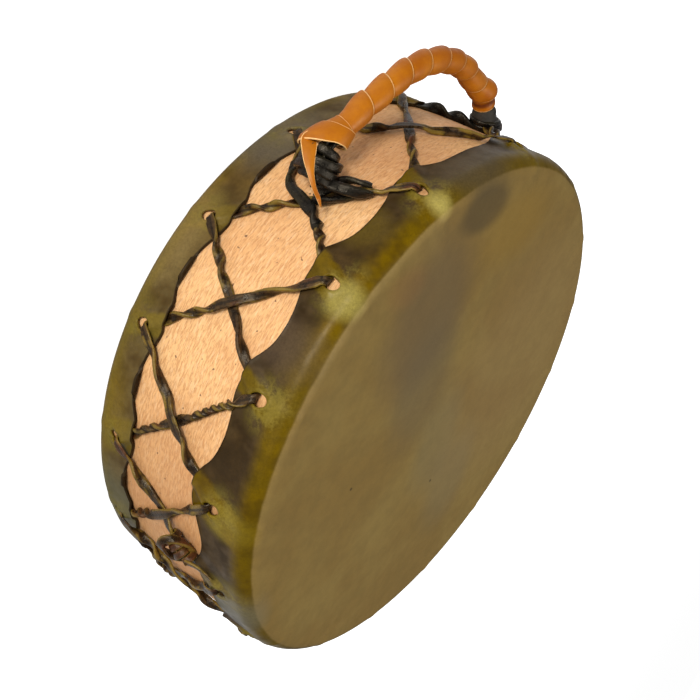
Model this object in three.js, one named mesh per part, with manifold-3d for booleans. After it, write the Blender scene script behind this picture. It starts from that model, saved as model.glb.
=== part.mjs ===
// Hand drum: a bent wood hoop with a hide head on each face, laced together zigzag, and a wrapped handle.
// Millimetres. +Z is the drum's axis with the front head on top, and +Y points to the handle.
// The origin is the centre of the back head's outer face, on which the drum lies.

import * as THREE from 'three';
import Module from 'manifold-3d';

const wasm = await Module();
wasm.setup();

// Clearance between two pieces that touch
const SEAT_GAP = 0.3;

// Hoop
const HOOP_RADIUS = 152.4;
const HOOP_WIDTH = 106;
const HOOP_WALL = 8;
const HOOP_EDGE_ROUND = 8;
const HOOP_INNER_CHAMFER = 0.8;
const HOOP_SIDES = 84;
const SHOULDER_STEPS = 3;

// Heads
const HIDE_THICKNESS = 1.4;
const HOLE_RADIUS = 4.25;
const HOLE_SIDES = 8;
const FRONT_HOLE_DEPTH = 16.5;
const BACK_HOLE_DEPTH = 16.5;
const FRONT_TAB_MARGIN = 13.5;
const BACK_TAB_MARGIN = 11.5;
const FRONT_SCALLOP = 6.5;
const BACK_SCALLOP = 5.5;
const LIFT_PAST_HOLE = 1;
const WIDEST_SKIRT_STEP = 5.4;

// Lacing columns: the holes were punched by eye, so each strays a little from an even spacing
const COLUMN_PAIRS = 8;
const COLUMN_COUNT = 2 * COLUMN_PAIRS;
const FIRST_COLUMN_ANGLE = 84;
const COLUMN_STRAY = [
  -5.5, 3.4, 3.9, 3.4, 3.4, 1.4, 0.9, 0.4, -1.1, -1.6, -2.1, -2.6, -4.1, -5.6, -6.6, -7.6,
];
const FRONT_DEPTH_STRAY = [-0.9, -1.5, 0.2, 1.9, 8, 2.5, 1.5, 0, 0.5, -0.5, 0, 0.5, -0.5, 0, 0.5, -0.5];
const BACK_DEPTH_STRAY = [0, 1, 0.5, -0.6, 1.5, 0, 0.5, -0.5, 0, 0.5, -0.5, 0, 0.5, 0, -0.5, 0];

// Skirt stations beside each column, in degrees from it: how far the lace lifts the skirt there, and how much
// of the tab's length is left. The lace comes in under the side of the smaller angle.
const COLUMN_STATIONS = [
  { offset: -8.6, lift: 0, tab: 0.2 },
  { offset: -5.6, lift: 1, tab: 0.8 },
  { offset: -1.9, lift: 1, tab: 1 },
  { offset: 1.9, lift: 1, tab: 0.85 },
  { offset: 4.9, lift: 0, tab: 0.35 },
];
const LACE_LEAVES_AT = 3.4;
const LACE_ARRIVES_AT = -3.6;

// Lace: a wet-cut strip that lies flat where something presses on it and rounds up where it runs free
const LACE_WIDTH = 5.4;
const LACE_FLAT = 1.6;
const LACE_FREE_WIDTH = 4.6;
const LACE_FREE_THICKNESS = 3;
const FOLD_WIDTH = 4.4;
const FOLD_DRIFT = 2.6;
const FOLD_SLANT = 19;
const FOLD_RUN = 3;
const EASED_SHARE = 0.6;
const LACE_RAMP = 7;
const CROSSING_HALF = 4.6;

// Tie-off knot, wound round one run of the under lace
const TIE_COLUMN = 4;
const TIE_START = 11;
const TIE_TURNS = 3.5;
const TIE_STRIP = 3.4;
const TIE_SPACE = 0.8;
const TIE_THICKNESS = 2;
const TIE_CLEAR = 0.45;
const TIE_LEAD = 0.6;
const TIE_TAIL_TAPER = 0.5;
const TIED_LACE_WIDTH = 3.6;
const TIED_LACE_THICKNESS = 2.4;
const TIE_TAIL = [[-2.4, 2.4, 2.6], [-3.2, 5.6, 2], [-2.6, 9.4, 1], [-1, 13.4, 0.3], [0.6, 16, 0.2]];

// Handle route in the hoop's middle plane, from the left root to the right root. Each place is an angle about
// the drum's axis and a share of the crest's rise above the lacing on which the knots sit.
const LEFT_ROOT_ANGLE = 118.5;
const RIGHT_ROOT_ANGLE = 67.6;
const LEFT_KNOT_REACH = 9.3;
const RIGHT_KNOT_REACH = 6.6;
const HANDLE_RISE = 30;
const HANDLE_ROUTE = [
  [114.54, 0.562], [109.24, 0.701], [102.75, 0.826], [94.93, 0.986],
  [88.16, 1], [81.5, 0.87], [76.1, 0.645], [71, 0.46],
];

// Handle strands, wrap and knots
const STRAND_COUNT = 3;
const STRAND_RADIUS = 1.45;
const STRAND_END_RADIUS = 1.75;
const STRAND_TWISTS = 2.5;
const STRAND_TAPER_FROM = 5;
const STRAND_TAPER_TO = 10.5;
const STRAND_SIDES = 6;
const STRAND_STEPS = 32;
const WRAP_TURNS = 9;
const WRAP_FIRST_TURN = -75;
const WRAP_THICKNESS = 1;
const WRAP_OVERLAP = 5;
const WRAP_LAP_GAP = 0.55;
const WRAP_LEFT_START = 10.5;
const WRAP_RIGHT_START = 6;
const WRAP_CLEAR = 0.45;
const WRAP_END_WIDTH = 8;
const WRAP_WIDENING = 0.45;
const KNOT_THICKNESS = 2;
const KNOT_TO_WRAP = 0.8;
const LEFT_COLLAR_STEP = 3.6;
const LEFT_STRIP = 3.2;
const LEFT_PITCH = 4.5;
const RIGHT_STRIP = 2.8;
const RIGHT_PITCH = 3.6;
const RIGHT_TURNS = 1;
const COIL_CLEAR = 0.45;
const ROOT_TAIL = 5;
const CUFF_LENGTH = 3.6;
const CUFF_WALL = 2.2;
const CUFF_FLARE = 0.5;
const CUFF_SIDES = 20;

// Pointed end of the wrap, which hangs over the left knot, as places measured from the left root
const TAIL_ROUTE = [
  [-12.1, -8.9, 16.2], [-12.1, -4, 11.9], [-10.9, 1.7, 6.7], [-8.9, 7.3, 0.7], [-4.3, 11.3, -6.9],
];
const TAIL_WIDTHS = [0.9, 4.2, 6, 7, 7.6];

// Sizes that follow from the ones above
const HEAD_STACK = SEAT_GAP + HIDE_THICKNESS;
const DRUM_HEIGHT = HOOP_WIDTH + 2 * HEAD_STACK;
const MIDDLE = DRUM_HEIGHT / 2;
const UNDER_RADIUS = HOOP_RADIUS + SEAT_GAP + LACE_FLAT / 2;
const LACE_LIFT = LACE_FLAT + SEAT_GAP;
const LIFTED_HIDE = HOOP_RADIUS + SEAT_GAP + LACE_LIFT + HIDE_THICKNESS;
const OVER_RADIUS = LIFTED_HIDE + SEAT_GAP + LACE_FLAT / 2;
const FREE_RADIUS = HOOP_RADIUS + SEAT_GAP + LACE_FREE_THICKNESS / 2;
const CROSSED_RADIUS = UNDER_RADIUS + LACE_FLAT + SEAT_GAP;
const KNOT_SEAT = CROSSED_RADIUS + LACE_FLAT / 2 + SEAT_GAP;

const { degToRad } = THREE.MathUtils;
const UP = new THREE.Vector3(0, 0, 1);

// Point at an angle about the drum's axis
function polar(degrees, radius, z) {
  const angle = degToRad(degrees);
  return new THREE.Vector3(radius * Math.cos(angle), radius * Math.sin(angle), z);
}

// Unit vectors at an angle about the drum's axis
function axesAt(degrees) {
  const outward = polar(degrees, 1, 0);
  return { outward, along: new THREE.Vector3().crossVectors(UP, outward) };
}

function signedVolume(positions, index) {
  const corner = (i) => new THREE.Vector3().fromArray(positions, 3 * index[i]);
  let total = 0;
  for (let i = 0; i < index.length; i += 3) {
    total += corner(i).dot(corner(i + 1).cross(corner(i + 2))) / 6;
  }
  return total;
}

// Closed geometry from shared vertices, with its faces turned outwards
function closedGeometry(positions, index) {
  if (signedVolume(positions, index) < 0) index.reverse();
  const geometry = new THREE.BufferGeometry();
  geometry.setAttribute('position', new THREE.Float32BufferAttribute(positions, 3));
  geometry.setIndex(index);
  geometry.computeVertexNormals();
  return geometry;
}

// Surface over a row of rings with equal counts: an endless loop of rings, or one with a pole at each end
function loft(rings, poles) {
  const count = rings[0].length;
  const positions = rings.flat().flatMap((point) => point.toArray());
  const index = [];
  const spans = poles ? rings.length - 1 : rings.length;
  for (let i = 0; i < spans; i += 1) {
    const next = (i + 1) % rings.length;
    for (let j = 0; j < count; j += 1) {
      const k = (j + 1) % count;
      index.push(i * count + j, i * count + k, next * count + k);
      index.push(i * count + j, next * count + k, next * count + j);
    }
  }
  if (poles) {
    const first = positions.length / 3;
    positions.push(...poles[0].toArray(), ...poles[1].toArray());
    const end = (rings.length - 1) * count;
    for (let j = 0; j < count; j += 1) {
      const k = (j + 1) % count;
      index.push(first, k, j);
      index.push(first + 1, end + j, end + k);
    }
  }
  return closedGeometry(positions, index);
}

function middleOf(ring) {
  const sum = new THREE.Vector3();
  ring.forEach((point) => sum.add(point));
  return sum.divideScalar(ring.length);
}

// Strip or tube through a row of section outlines, closed with a flat cap at each end
function sweep(rings) {
  return loft(rings, [middleOf(rings[0]), middleOf(rings[rings.length - 1])]);
}

// Four-cornered section of a flat strip
function stripSection(station) {
  const across = station.across.clone().multiplyScalar(station.width / 2);
  const through = station.through.clone().multiplyScalar(station.thickness / 2);
  const corner = (a, b) => station.at.clone().addScaledVector(across, a).addScaledVector(through, b);
  return [corner(-1, -1), corner(1, -1), corner(1, 1), corner(-1, 1)];
}

// Six-sided section of a strip with eased edges
function easedSection(station) {
  const across = station.across.clone().multiplyScalar(station.width / 2);
  const through = station.through.clone().multiplyScalar(station.thickness / 2);
  const corner = (a, b) => station.at.clone().addScaledVector(across, a).addScaledVector(through, b);
  const ease = EASED_SHARE;
  return [
    corner(-1, 0), corner(-ease, -1), corner(ease, -1),
    corner(1, 0), corner(ease, 1), corner(-ease, 1),
  ];
}

// Least distance between parts of one winding that lie at least half a turn apart
function leastGap(rings, halfTurn) {
  const clouds = rings.map((ring) => ring.flatMap((point, i) => {
    const next = ring[(i + 1) % ring.length];
    return [0, 0.25, 0.5, 0.75].map((share) => point.clone().lerp(next, share));
  }));
  const span = Math.max(...rings.flatMap((ring) => ring.map((point) => point.distanceTo(ring[0]))));
  let least = Infinity;
  for (let i = 0; i < clouds.length; i += 1) {
    for (let j = i + halfTurn; j < clouds.length; j += 1) {
      if (rings[i][0].distanceTo(rings[j][0]) - 2 * span < least) {
        clouds[i].forEach((a) => clouds[j].forEach((b) => {
          least = Math.min(least, a.distanceTo(b));
        }));
      }
    }
  }
  return least;
}

function toSolid(geometry) {
  const vertProperties = new Float32Array(geometry.getAttribute('position').array);
  const triVerts = new Uint32Array(geometry.getIndex().array);
  return new wasm.Manifold(new wasm.Mesh({ numProp: 3, vertProperties, triVerts }));
}

function fromSolid(solid) {
  const mesh = solid.getMesh();
  return closedGeometry(Array.from(mesh.vertProperties), Array.from(mesh.triVerts));
}

// Columns of holes
function columnAngle(k) {
  const turn = Math.floor(k / COLUMN_COUNT);
  const home = k - turn * COLUMN_COUNT;
  const stray = COLUMN_STRAY[home % COLUMN_STRAY.length];
  return FIRST_COLUMN_ANGLE + (home * 360) / COLUMN_COUNT + stray + turn * 360;
}

const FRONT = {
  face: DRUM_HEIGHT, up: 1, depth: FRONT_HOLE_DEPTH, stray: FRONT_DEPTH_STRAY, margin: FRONT_TAB_MARGIN,
  scallop: FRONT_SCALLOP,
};
const BACK = {
  face: 0, up: -1, depth: BACK_HOLE_DEPTH, stray: BACK_DEPTH_STRAY, margin: BACK_TAB_MARGIN,
  scallop: BACK_SCALLOP,
};

function holeDepth(head, k) {
  const home = ((k % COLUMN_COUNT) + COLUMN_COUNT) % COLUMN_COUNT;
  return head.depth + head.stray[home % head.stray.length];
}

// Every angle at which a skirt is shaped, with its lift, hole depth and edge depth
function skirtStations(head) {
  const stations = [];
  const shared = (k, share, read) => read(k) * (1 - share) + read(k + 1) * share;
  const depthAt = (k, share) => shared(k, share, (i) => holeDepth(head, i));
  const add = (k, angle, lift, tab) => {
    const share = (angle - columnAngle(k)) / (columnAngle(k + 1) - columnAngle(k));
    const depth = depthAt(k, share);
    stations.push({ angle, lift, depth, edge: depth + head.margin - head.scallop * (1 - tab) });
  };
  for (let k = 0; k < COLUMN_COUNT; k += 1) {
    COLUMN_STATIONS.slice(2).forEach((s) => {
      const before = s.offset < 0;
      add(before ? k - 1 : k, columnAngle(k) + s.offset, s.lift, s.tab);
    });
    const from = columnAngle(k) + COLUMN_STATIONS[4].offset;
    const to = columnAngle(k + 1) + COLUMN_STATIONS[0].offset;
    const steps = Math.max(1, Math.ceil((to - from) / WIDEST_SKIRT_STEP));
    for (let i = 1; i < steps; i += 1) add(k, from + ((to - from) * i) / steps, 0, 0);
    COLUMN_STATIONS.slice(0, 2).forEach((s) => add(k, columnAngle(k + 1) + s.offset, s.lift, s.tab));
  }
  return stations;
}

// Edge depth of a skirt at any angle from a column
function edgeDepth(head, k, offset) {
  const angle = columnAngle(k) + offset;
  const away = (station) => Math.abs(((station.angle - angle + 540) % 360) - 180);
  const [nearest, second] = skirtStations(head).sort((a, b) => away(a) - away(b));
  return Math.max(nearest.edge, second.edge);
}

// One head: a disc of hide that turns over the hoop's rounded edge into a scalloped skirt with punched holes
function headGeometry(head) {
  const stations = skirtStations(head);
  const outerRound = HOOP_EDGE_ROUND + HEAD_STACK;
  const innerRound = HOOP_EDGE_ROUND + SEAT_GAP;
  const flatRadius = HOOP_RADIUS - HOOP_EDGE_ROUND;
  const level = (depth) => head.face - head.up * depth;
  const ring = (radius, depth) => stations.map((s) => polar(s.angle, radius(s), level(depth(s))));
  const outside = HOOP_RADIUS + HEAD_STACK;
  const inside = HOOP_RADIUS + SEAT_GAP;
  const rings = [];
  const shoulder = (step, round, skin) => {
    const turn = (step / SHOULDER_STEPS) * (Math.PI / 2);
    return ring(() => flatRadius + round * Math.sin(turn), () => skin + round * (1 - Math.cos(turn)));
  };
  for (let i = 0; i <= SHOULDER_STEPS; i += 1) rings.push(shoulder(i, outerRound, 0));
  rings.push(ring((s) => outside + s.lift * LACE_LIFT, (s) => s.depth + LIFT_PAST_HOLE));
  rings.push(ring((s) => outside + s.lift * LACE_LIFT, (s) => s.edge));
  rings.push(ring((s) => inside + s.lift * LACE_LIFT, (s) => s.edge));
  rings.push(ring((s) => inside + s.lift * LACE_LIFT, (s) => s.depth + LIFT_PAST_HOLE));
  for (let i = SHOULDER_STEPS; i >= 0; i -= 1) rings.push(shoulder(i, innerRound, HIDE_THICKNESS));
  const poles = [new THREE.Vector3(0, 0, level(0)), new THREE.Vector3(0, 0, level(HIDE_THICKNESS))];
  let solid = toSolid(loft(rings, poles));
  const reach = 4 * (HIDE_THICKNESS + LACE_LIFT);
  for (let k = 0; k < COLUMN_COUNT; k += 1) {
    const punch = new THREE.CylinderGeometry(HOLE_RADIUS, HOLE_RADIUS, reach, HOLE_SIDES);
    punch.rotateY(Math.PI / HOLE_SIDES);
    punch.rotateZ(-Math.PI / 2);
    punch.translate(outside, 0, level(holeDepth(head, k)));
    punch.rotateZ(degToRad(columnAngle(k)));
    solid = solid.subtract(toSolid(mergedPunch(punch)));
  }
  return fromSolid(solid);
}

// Punch with shared vertices, so that it is a closed solid
function mergedPunch(geometry) {
  const source = geometry.getAttribute('position');
  const positions = [];
  const places = new Map();
  const index = Array.from(geometry.getIndex().array, (i) => {
    const point = [source.getX(i), source.getY(i), source.getZ(i)];
    const key = point.map((value) => value.toFixed(4)).join();
    if (!places.has(key)) {
      places.set(key, positions.length / 3);
      positions.push(...point);
    }
    return places.get(key);
  });
  return closedGeometry(positions, index);
}

// Bent wood hoop with rounded outer edges
function hoopGeometry() {
  const round = Math.min(HOOP_EDGE_ROUND, HOOP_WALL);
  const bottom = HEAD_STACK;
  const top = HEAD_STACK + HOOP_WIDTH;
  const inner = HOOP_RADIUS - HOOP_WALL;
  const profile = [
    new THREE.Vector2(inner, top - HOOP_INNER_CHAMFER),
    new THREE.Vector2(inner, bottom + HOOP_INNER_CHAMFER),
  ];
  const rounding = (step, from, up) => {
    const turn = (step / SHOULDER_STEPS) * (Math.PI / 2);
    const radius = HOOP_RADIUS - round + round * Math.sin(turn);
    const level = from + up * round * (1 - Math.cos(turn));
    return new THREE.Vector2(Math.max(radius, inner + HOOP_INNER_CHAMFER), level);
  };
  for (let i = 0; i <= SHOULDER_STEPS; i += 1) profile.push(rounding(i, bottom, 1));
  for (let i = SHOULDER_STEPS; i >= 0; i -= 1) profile.push(rounding(i, top, -1));
  const rings = [];
  for (let i = 0; i < HOOP_SIDES; i += 1) {
    rings.push(profile.map((p) => polar((360 * i) / HOOP_SIDES, p.x, p.y)));
  }
  return loft(rings, null);
}

// Where the lace folds over the hide in a hole: just inside the hole's edge on the skirt side
const HOLE_FLAT = HOLE_RADIUS * Math.cos(Math.PI / HOLE_SIDES);
const FOLD_OFFSET = Math.sqrt(HOLE_FLAT ** 2 - (FOLD_WIDTH / 2) ** 2);

function foldDepth(head, k) {
  return holeDepth(head, k) + FOLD_OFFSET;
}

function foldLevel(head, k) {
  return head.face - head.up * foldDepth(head, k);
}

// Stations of the fold that brings the lace from under the skirt, up through a hole and onto the skirt
function foldStations(head, k) {
  const bend = (OVER_RADIUS - UNDER_RADIUS) / 2;
  const centre = (OVER_RADIUS + UNDER_RADIUS) / 2;
  return [0, 60, 120, 180].map((degrees) => {
    const turn = degToRad(degrees);
    const drift = FOLD_DRIFT * (degrees / 180 - 0.5);
    const angle = columnAngle(k) + THREE.MathUtils.radToDeg(drift / HOOP_RADIUS);
    const { outward, along } = axesAt(angle);
    const slant = degToRad(FOLD_SLANT * Math.cos(turn));
    const level = foldLevel(head, k) + head.up * bend * Math.sin(turn);
    return {
      at: polar(angle, centre - bend * Math.cos(turn), level),
      across: along.clone().multiplyScalar(Math.cos(slant)).addScaledVector(UP, -head.up * Math.sin(slant)),
      through: UP.clone().multiplyScalar(Math.sin(turn)).addScaledVector(outward, -head.up * Math.cos(turn)),
      width: FOLD_WIDTH,
      thickness: LACE_FLAT,
    };
  });
}

// A run of lace between two neighbouring columns, as a straight line on the hoop's unrolled surface
function laceRun(head, k) {
  const other = head === FRONT ? BACK : FRONT;
  const drift = THREE.MathUtils.radToDeg(FOLD_DRIFT / 2 / HOOP_RADIUS);
  const from = { angle: columnAngle(k) + drift, level: foldLevel(head, k) };
  const to = { angle: columnAngle(k + 1) - drift, level: foldLevel(other, k + 1) };
  const arc = degToRad(to.angle - from.angle) * HOOP_RADIUS;
  const rise = to.level - from.level;
  const length = Math.hypot(arc, rise);
  const here = foldLevel(FRONT, k) - foldLevel(BACK, k);
  const there = foldLevel(FRONT, k + 1) - foldLevel(BACK, k + 1);
  return { head, other, k, from, to, arc, rise, length, crossing: (length * here) / (here + there) };
}

function runStation(run, distance, radius, width = LACE_WIDTH, thickness = LACE_FLAT) {
  const share = distance / run.length;
  const angle = run.from.angle + (run.to.angle - run.from.angle) * share;
  const { outward, along } = axesAt(angle);
  const side = run.head.up;
  const across = along.clone().multiplyScalar((-side * run.rise) / run.length);
  across.addScaledVector(UP, (side * run.arc) / run.length);
  const level = run.from.level + run.rise * share;
  return { at: polar(angle, radius, level), across, through: outward.multiplyScalar(side), width, thickness };
}

// The run leaves over the first skirt, crosses another run in the middle and dives under the second skirt
function runStations(run, isOver, lift) {
  const flat = (distance, radius) => runStation(run, distance, radius);
  const free = (distance) => runStation(run, distance, FREE_RADIUS, LACE_FREE_WIDTH, LACE_FREE_THICKNESS);
  const lean = run.length / Math.abs(run.rise);
  const clear = LACE_WIDTH / 2;
  const pastHole = (head, k, offset) => (edgeDepth(head, k, offset) - foldDepth(head, k)) * lean + clear;
  const leave = pastHole(run.head, run.k, LACE_LEAVES_AT);
  const arrive = run.length - pastHole(run.other, run.k + 1, LACE_ARRIVES_AT);
  const crossRadius = isOver ? CROSSED_RADIUS : UNDER_RADIUS;
  const crossFrom = run.crossing - CROSSING_HALF;
  const crossTo = run.crossing + CROSSING_HALF;
  const rampIn = Math.min(LACE_RAMP, (crossFrom - leave) / 3);
  const rampOut = Math.min(LACE_RAMP, (arrive - crossTo) / 3);
  const stations = [
    flat(FOLD_RUN, OVER_RADIUS), flat(leave, OVER_RADIUS), free(leave + rampIn), free(crossFrom - rampIn),
    flat(crossFrom, crossRadius), flat(crossTo, crossRadius),
  ];
  if (lift) {
    lift.distances.forEach((distance) => stations.push(
      runStation(run, crossTo + distance, lift.radius, TIED_LACE_WIDTH, TIED_LACE_THICKNESS)));
  } else {
    stations.push(free(crossTo + rampOut), free(arrive - rampOut));
  }
  stations.push(flat(arrive, UNDER_RADIUS), flat(run.length - FOLD_RUN, UNDER_RADIUS));
  return stations;
}

// Tie-off knot: its coil stands round the under lace, so that run is lifted off the wood there
const TIE_PITCH = TIE_STRIP + TIE_SPACE;
const TIE_LENGTH = TIE_TURNS * TIE_PITCH;
const TIE_RADIUS = HOOP_RADIUS + SEAT_GAP + TIE_THICKNESS + TIE_CLEAR + LACE_FREE_THICKNESS / 2;

function tieLift() {
  const from = TIE_START - CROSSING_HALF - TIE_STRIP / 2 - TIE_LEAD;
  const to = TIE_START - CROSSING_HALF + TIE_LENGTH + TIE_STRIP / 2;
  return { radius: TIE_RADIUS, distances: [from, (from + to) / 2, to] };
}

// One circuit of lace, through every second column of each head, back to its start
function laceGeometry(firstColumn, isOver) {
  const rings = [];
  for (let step = 0; step < COLUMN_COUNT; step += 1) {
    const k = firstColumn + step;
    const head = step % 2 === 0 ? FRONT : BACK;
    const isTied = !isOver && head === BACK && k === TIE_COLUMN;
    const stations = foldStations(head, k);
    stations.push(...runStations(laceRun(head, k), isOver, isTied ? tieLift() : null));
    stations.forEach((station) => rings.push(stripSection(station)));
  }
  return loft(rings, null);
}

// Coil round the lifted run, then a tail that lies up over the front skirt's edge
function tieKnotGeometry() {
  const run = laceRun(BACK, TIE_COLUMN);
  const start = run.crossing + TIE_START;
  const steps = 12;
  const wide = LACE_FREE_WIDTH / 2 + TIE_CLEAR + TIE_THICKNESS / 2;
  const deep = LACE_FREE_THICKNESS / 2 + TIE_CLEAR + TIE_THICKNESS / 2;
  const rings = [];
  for (let i = 0; i <= TIE_TURNS * steps; i += 1) {
    const turn = (2 * Math.PI * i) / steps - Math.PI / 2;
    const middle = runStation(run, start + (TIE_PITCH * i) / steps, TIE_RADIUS);
    const outward = middle.through.clone().multiplyScalar(run.head.up);
    const through = middle.across.clone().multiplyScalar(Math.cos(turn) * deep);
    through.addScaledVector(outward, Math.sin(turn) * wide).normalize();
    const at = middle.at.clone().addScaledVector(middle.across, Math.cos(turn) * wide);
    at.addScaledVector(outward, Math.sin(turn) * deep);
    const across = new THREE.Vector3().crossVectors(middle.across, outward).normalize();
    rings.push(easedSection({ at, across, through, width: TIE_STRIP, thickness: TIE_THICKNESS }));
  }
  const end = runStation(run, start + TIE_LENGTH, OVER_RADIUS);
  const endAngle = THREE.MathUtils.radToDeg(Math.atan2(end.at.y, end.at.x));
  const places = TIE_TAIL.map(([sideways, rise, proud]) => {
    const angle = endAngle + THREE.MathUtils.radToDeg(sideways / OVER_RADIUS);
    return { angle, at: polar(angle, OVER_RADIUS + proud, end.at.z + rise) };
  });
  places.forEach(({ angle, at }, i) => {
    const last = i === 0 ? end.at : places[i - 1].at;
    const next = places[Math.min(i + 1, places.length - 1)].at;
    const { outward } = axesAt(angle);
    const heading = next.clone().sub(last).projectOnPlane(outward).normalize();
    const across = new THREE.Vector3().crossVectors(outward, heading);
    const width = TIE_STRIP * (1 - (TIE_TAIL_TAPER * i) / places.length);
    rings.push(easedSection({ at, across, through: outward, width, thickness: LACE_FLAT }));
  });
  return { geometry: sweep(rings), gap: leastGap(rings, steps / 2) };
}

// Handle: a point at an angle about the drum's axis and a reach beyond the lacing
function handlePoint(angle, reach) {
  return polar(angle, KNOT_SEAT + reach, MIDDLE);
}

const LEFT_ROOT = handlePoint(LEFT_ROOT_ANGLE, LEFT_KNOT_REACH);
const RIGHT_ROOT = handlePoint(RIGHT_ROOT_ANGLE, RIGHT_KNOT_REACH);

function footBelow(root, next) {
  return root.clone().addScaledVector(next.clone().sub(root).normalize(), -ROOT_TAIL);
}

// The handle's middle line, as a smooth curve between the two roots
function handleCurve() {
  const points = HANDLE_ROUTE.map(([angle, share]) => handlePoint(angle, HANDLE_RISE * share));
  const leftFoot = footBelow(LEFT_ROOT, points[0]);
  const rightFoot = footBelow(RIGHT_ROOT, points[points.length - 1]);
  const route = [leftFoot, LEFT_ROOT, ...points, RIGHT_ROOT, rightFoot];
  return new THREE.CatmullRomCurve3(route, false, 'centripetal');
}

const HANDLE = handleCurve();
HANDLE.arcLengthDivisions = 2000;
const HANDLE_LENGTH = HANDLE.getLength();

// Point at a distance along the handle, a radius from its middle line and a turn about it.
// A turn of 0 faces away from the drum, and a quarter turn faces the front head.
function roundHandle(distance, radius, turn) {
  const share = THREE.MathUtils.clamp(distance / HANDLE_LENGTH, 0, 1);
  const tangent = HANDLE.getTangentAt(share);
  const away = new THREE.Vector3().crossVectors(UP, tangent).normalize();
  const outward = away.multiplyScalar(Math.cos(turn)).addScaledVector(UP, Math.sin(turn));
  return { at: HANDLE.getPointAt(share).addScaledVector(outward, radius), outward, tangent };
}

// Strand of lace inside the handle, twisted with its neighbours and pinched at both roots
function strandGeometry(number) {
  const rings = [];
  for (let i = 0; i <= STRAND_STEPS; i += 1) {
    const distance = (HANDLE_LENGTH * i) / STRAND_STEPS;
    const fromEnd = Math.min(distance, HANDLE_LENGTH - distance);
    const swell = THREE.MathUtils.smoothstep(fromEnd, STRAND_TAPER_FROM, STRAND_TAPER_TO);
    const radius = STRAND_END_RADIUS + (STRAND_RADIUS - STRAND_END_RADIUS) * swell;
    const offset = (radius * 2 + SEAT_GAP) / (2 * Math.sin(Math.PI / STRAND_COUNT));
    const turn = 2 * Math.PI * ((STRAND_TWISTS * i) / STRAND_STEPS + number / STRAND_COUNT);
    const frame = roundHandle(distance, offset, turn);
    const side = new THREE.Vector3().crossVectors(frame.tangent, frame.outward);
    const ring = [];
    for (let j = 0; j < STRAND_SIDES; j += 1) {
      const angle = (2 * Math.PI * j) / STRAND_SIDES;
      const point = frame.at.clone().addScaledVector(frame.outward, radius * Math.cos(angle));
      ring.push(point.addScaledVector(side, radius * Math.sin(angle)));
    }
    rings.push(ring);
  }
  return sweep(rings);
}

function bundleRadius(strandRadius) {
  return strandRadius + (strandRadius * 2 + SEAT_GAP) / (2 * Math.sin(Math.PI / STRAND_COUNT));
}

// Section of the wrap. Its corners divide it where the neighbouring turns begin and end, so that lapped
// faces stay parallel round the handle's bends.
function wrapSection(corner, lip) {
  const shares = [0, 1 - lip, lip, 1];
  const under = shares.map((share) => corner(share, 0));
  const outer = shares.map((share) => corner(share, WRAP_THICKNESS));
  return [...under, ...outer.reverse()];
}

// Leather wrap: one strip wound from the left root to the right. Each turn's right edge lies over the next
// turn's left edge, and the strip's pointed end hangs over the left knot.
function wrapGeometry() {
  const from = ROOT_TAIL + WRAP_LEFT_START;
  const to = HANDLE_LENGTH - ROOT_TAIL - WRAP_RIGHT_START;
  const pitch = (to - from - WRAP_OVERLAP) / (WRAP_TURNS + 1);
  const width = pitch + WRAP_OVERLAP;
  const slope = (WRAP_THICKNESS + WRAP_LAP_GAP) / pitch;
  const inner = bundleRadius(STRAND_RADIUS) + WRAP_CLEAR;
  const steps = 18;
  const firstTurn = degToRad(WRAP_FIRST_TURN);
  const tail = TAIL_ROUTE.map((place) => new THREE.Vector3(...place).add(LEFT_ROOT));
  const rings = tail.map((at, i) => {
    const next = tail[Math.min(i + 1, tail.length - 1)];
    const last = tail[Math.max(i - 1, 0)];
    const heading = next.clone().sub(last).normalize();
    const through = at.clone().sub(LEFT_ROOT);
    through.addScaledVector(heading, -through.dot(heading)).normalize();
    const across = new THREE.Vector3().crossVectors(heading, through);
    const corner = (share, skin) => at.clone().addScaledVector(across, (share - 0.5) * TAIL_WIDTHS[i])
      .addScaledVector(through, skin - WRAP_THICKNESS / 2);
    return wrapSection(corner, pitch / width);
  });
  const total = Math.round(WRAP_TURNS * steps);
  for (let i = 0; i <= total; i += 1) {
    const turns = i / steps;
    const turn = firstTurn - 2 * Math.PI * turns;
    const low = from + pitch * turns;
    const grown = THREE.MathUtils.smoothstep(turns, 0, WRAP_WIDENING);
    const wide = WRAP_END_WIDTH + (width - WRAP_END_WIDTH) * grown;
    const corner = (share, skin) => (
      roundHandle(low + wide * share, inner + slope * wide * share + skin, turn).at);
    rings.push(wrapSection(corner, pitch / width));
  }
  return { geometry: sweep(rings), gap: leastGap(rings, steps / 2) };
}

// Coil of lace round the strands: each place is a distance along the handle, a radius and a number of turns
function coilGeometry(places, strip) {
  const steps = 16;
  const rings = [];
  for (let i = 0; i < places.length - 1; i += 1) {
    const [a, b] = [places[i], places[i + 1]];
    const count = Math.round((b.turns - a.turns) * steps);
    for (let j = i === 0 ? 0 : 1; j <= count; j += 1) {
      const share = j / count;
      const distance = THREE.MathUtils.lerp(a.distance, b.distance, share);
      const radius = THREE.MathUtils.lerp(a.radius, b.radius, share);
      const turn = 2 * Math.PI * THREE.MathUtils.lerp(a.turns, b.turns, share);
      const { at, outward: through, tangent: across } = roundHandle(distance, radius, turn);
      rings.push(easedSection({ at, across, through, width: strip, thickness: KNOT_THICKNESS }));
    }
  }
  return { geometry: sweep(rings), gap: leastGap(rings, steps / 2) };
}

const PINCHED = bundleRadius(STRAND_END_RADIUS);

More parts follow.
